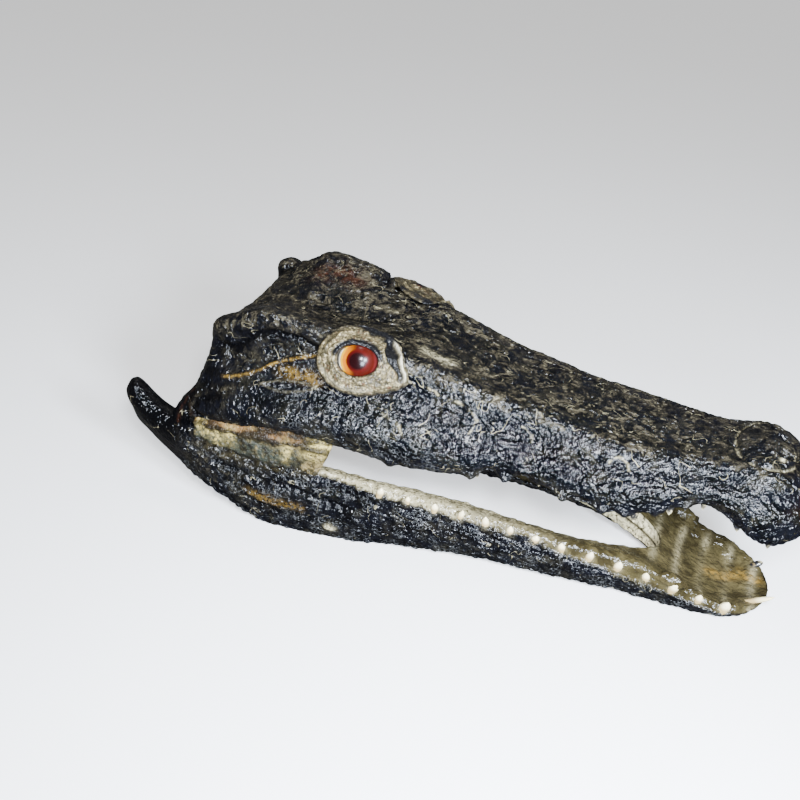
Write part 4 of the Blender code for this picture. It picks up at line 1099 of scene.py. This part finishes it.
for row, (at, tall, lean, width), place in (("lower", lower, swung), ("upper", upper, np.array)):
    for side, label in SIDES:
        flip = np.array([1, side, 1])
        worn = 1 - 0.75 * smooth(at[:, 0], 240, 270) * (row == "lower") * (side > 0)
        grid, up_tooth = tooth_row(at * flip, tall * worn, lean * flip[:2], width)
        faces = squares(*grid.shape[1:3])
        faces = faces + np.arange(len(at))[:, None, None] * grid.shape[1] * grid.shape[2]
        wind = -1 if row == "upper" else 1
        points = place(grid.reshape(-1, 3))
        hidden_end = smooth(at[:, 0], 240, 262)[:, None, None] * (side > 0)
        painted = 0 * up_tooth + 1 if row == "upper" else hidden_end + 0 * up_tooth
        hide_piece(f"{row}_teeth_{label}", points, faces.reshape(-1, 4)[:, ::-wind], None,
                   {"up": np.clip(up_tooth, 0, 1),
                    "painted": painted * smooth(up_tooth, 1.15, 0.7)}, ivory, "tooth")

# ---------------------------------------------------------------------------
# The studio: white paper that glows a little, soft lights, and a camera ahead
# of the animal's right side.  Mirror rays miss the paper, which would lay a
# grey veil over the black lacquer.
# ---------------------------------------------------------------------------
VIEW_TURN, VIEW_HEIGHT, VIEW_ROLL = (math.radians(a) for a in (19.7, 29.03, 1.5))
VIEW_AT, VIEW_AWAY, VIEW_SHIFT = (132, 0, 16.5), 567.8, (-42.9, 4.8)
FLOOR_HALF, LENS, FRAME_WIDE = 6, 42.75, 36

floor = bpy.data.meshes.new("floor")
floor.from_pydata([(x * FLOOR_HALF, y * FLOOR_HALF, 0) for x, y in ((-1, -1), (1, -1), (1, 1), (-1, 1))],
                  [], [(0, 1, 2, 3)])
ground = bpy.data.objects.new("floor", floor)
bpy.context.scene.collection.objects.link(ground)
ground.visible_glossy = False
paper, shader, spot = finish("white_paper")
connect(shader, Base_Color=grain(spot, 3, 2).tint((0.50, 0.50, 0.50, 1), (0.54, 0.54, 0.54, 1)),
        Roughness=0.9, Specular_IOR_Level=0.0, Emission_Color=(1, 1, 1, 1), Emission_Strength=0.75)
floor.materials.append(paper)

out = np.array([math.cos(VIEW_HEIGHT) * math.sin(VIEW_TURN),
                -math.cos(VIEW_HEIGHT) * math.cos(VIEW_TURN), math.sin(VIEW_HEIGHT)])
right = np.array([math.cos(VIEW_TURN), math.sin(VIEW_TURN), 0])
up = np.cross(out, right)
right, up = (math.cos(VIEW_ROLL) * right + math.sin(VIEW_ROLL) * up,
             math.cos(VIEW_ROLL) * up - math.sin(VIEW_ROLL) * right)
stand = (np.array(VIEW_AT) + out * VIEW_AWAY + right * VIEW_SHIFT[0] + up * VIEW_SHIFT[1])
lens = bpy.data.cameras.new("camera")
lens.lens, lens.sensor_width = LENS, FRAME_WIDE
lens.clip_start, lens.clip_end = 0.01, 50
camera = bpy.data.objects.new("camera", lens)
bpy.context.scene.collection.objects.link(camera)
turned = Matrix((turn_up @ right, turn_up @ up, turn_up @ out)).transposed().to_4x4()
camera.matrix_world = Matrix.Translation(laid(stand)) @ turned
bpy.context.scene.camera = camera


def softbox(name, place, aim, size, power, colour):
    """A square area light at a place, turned towards a point."""
    data = bpy.data.lights.new(name, "AREA")
    data.shape, data.size, data.energy, data.color = "SQUARE", size, power, colour
    lamp = bpy.data.objects.new(name, data)
    bpy.context.scene.collection.objects.link(lamp)
    lamp.location = place
    lamp.rotation_euler = (Vector(aim) - Vector(place)).to_track_quat("-Z", "Y").to_euler()


eye_point = Vector(laid(stand))
for name, place, aim, size, power, colour in (
        ("flash", (0.03, 0, 0.09), (0.08, 0, 0.06), 0.08, 15, (0.90, 0.94, 1)),
        ("window", (0.10, 0, -0.16), (0.08, 0, 0.05), 0.16, 14, (0.74, 0.84, 1)),
        ("panel", (0.22, 0.08, 0.03), (0.12, 0, 0.05), 0.14, 24, (0.80, 0.88, 1)),
        ("overhead", (-0.25, 0.55, 1.1), (0, 0, 0.05), 0.35, 7, (1, 0.99, 0.97))):
    softbox(name, eye_point + Vector(place), aim, size, power, colour)
sky = bpy.data.worlds.new("sky")
sky.use_nodes = True
sky.node_tree.nodes["Background"].inputs["Color"].default_value = (1, 1, 1, 1)
sky.node_tree.nodes["Background"].inputs["Strength"].default_value = 0.2
bpy.context.scene.world = sky
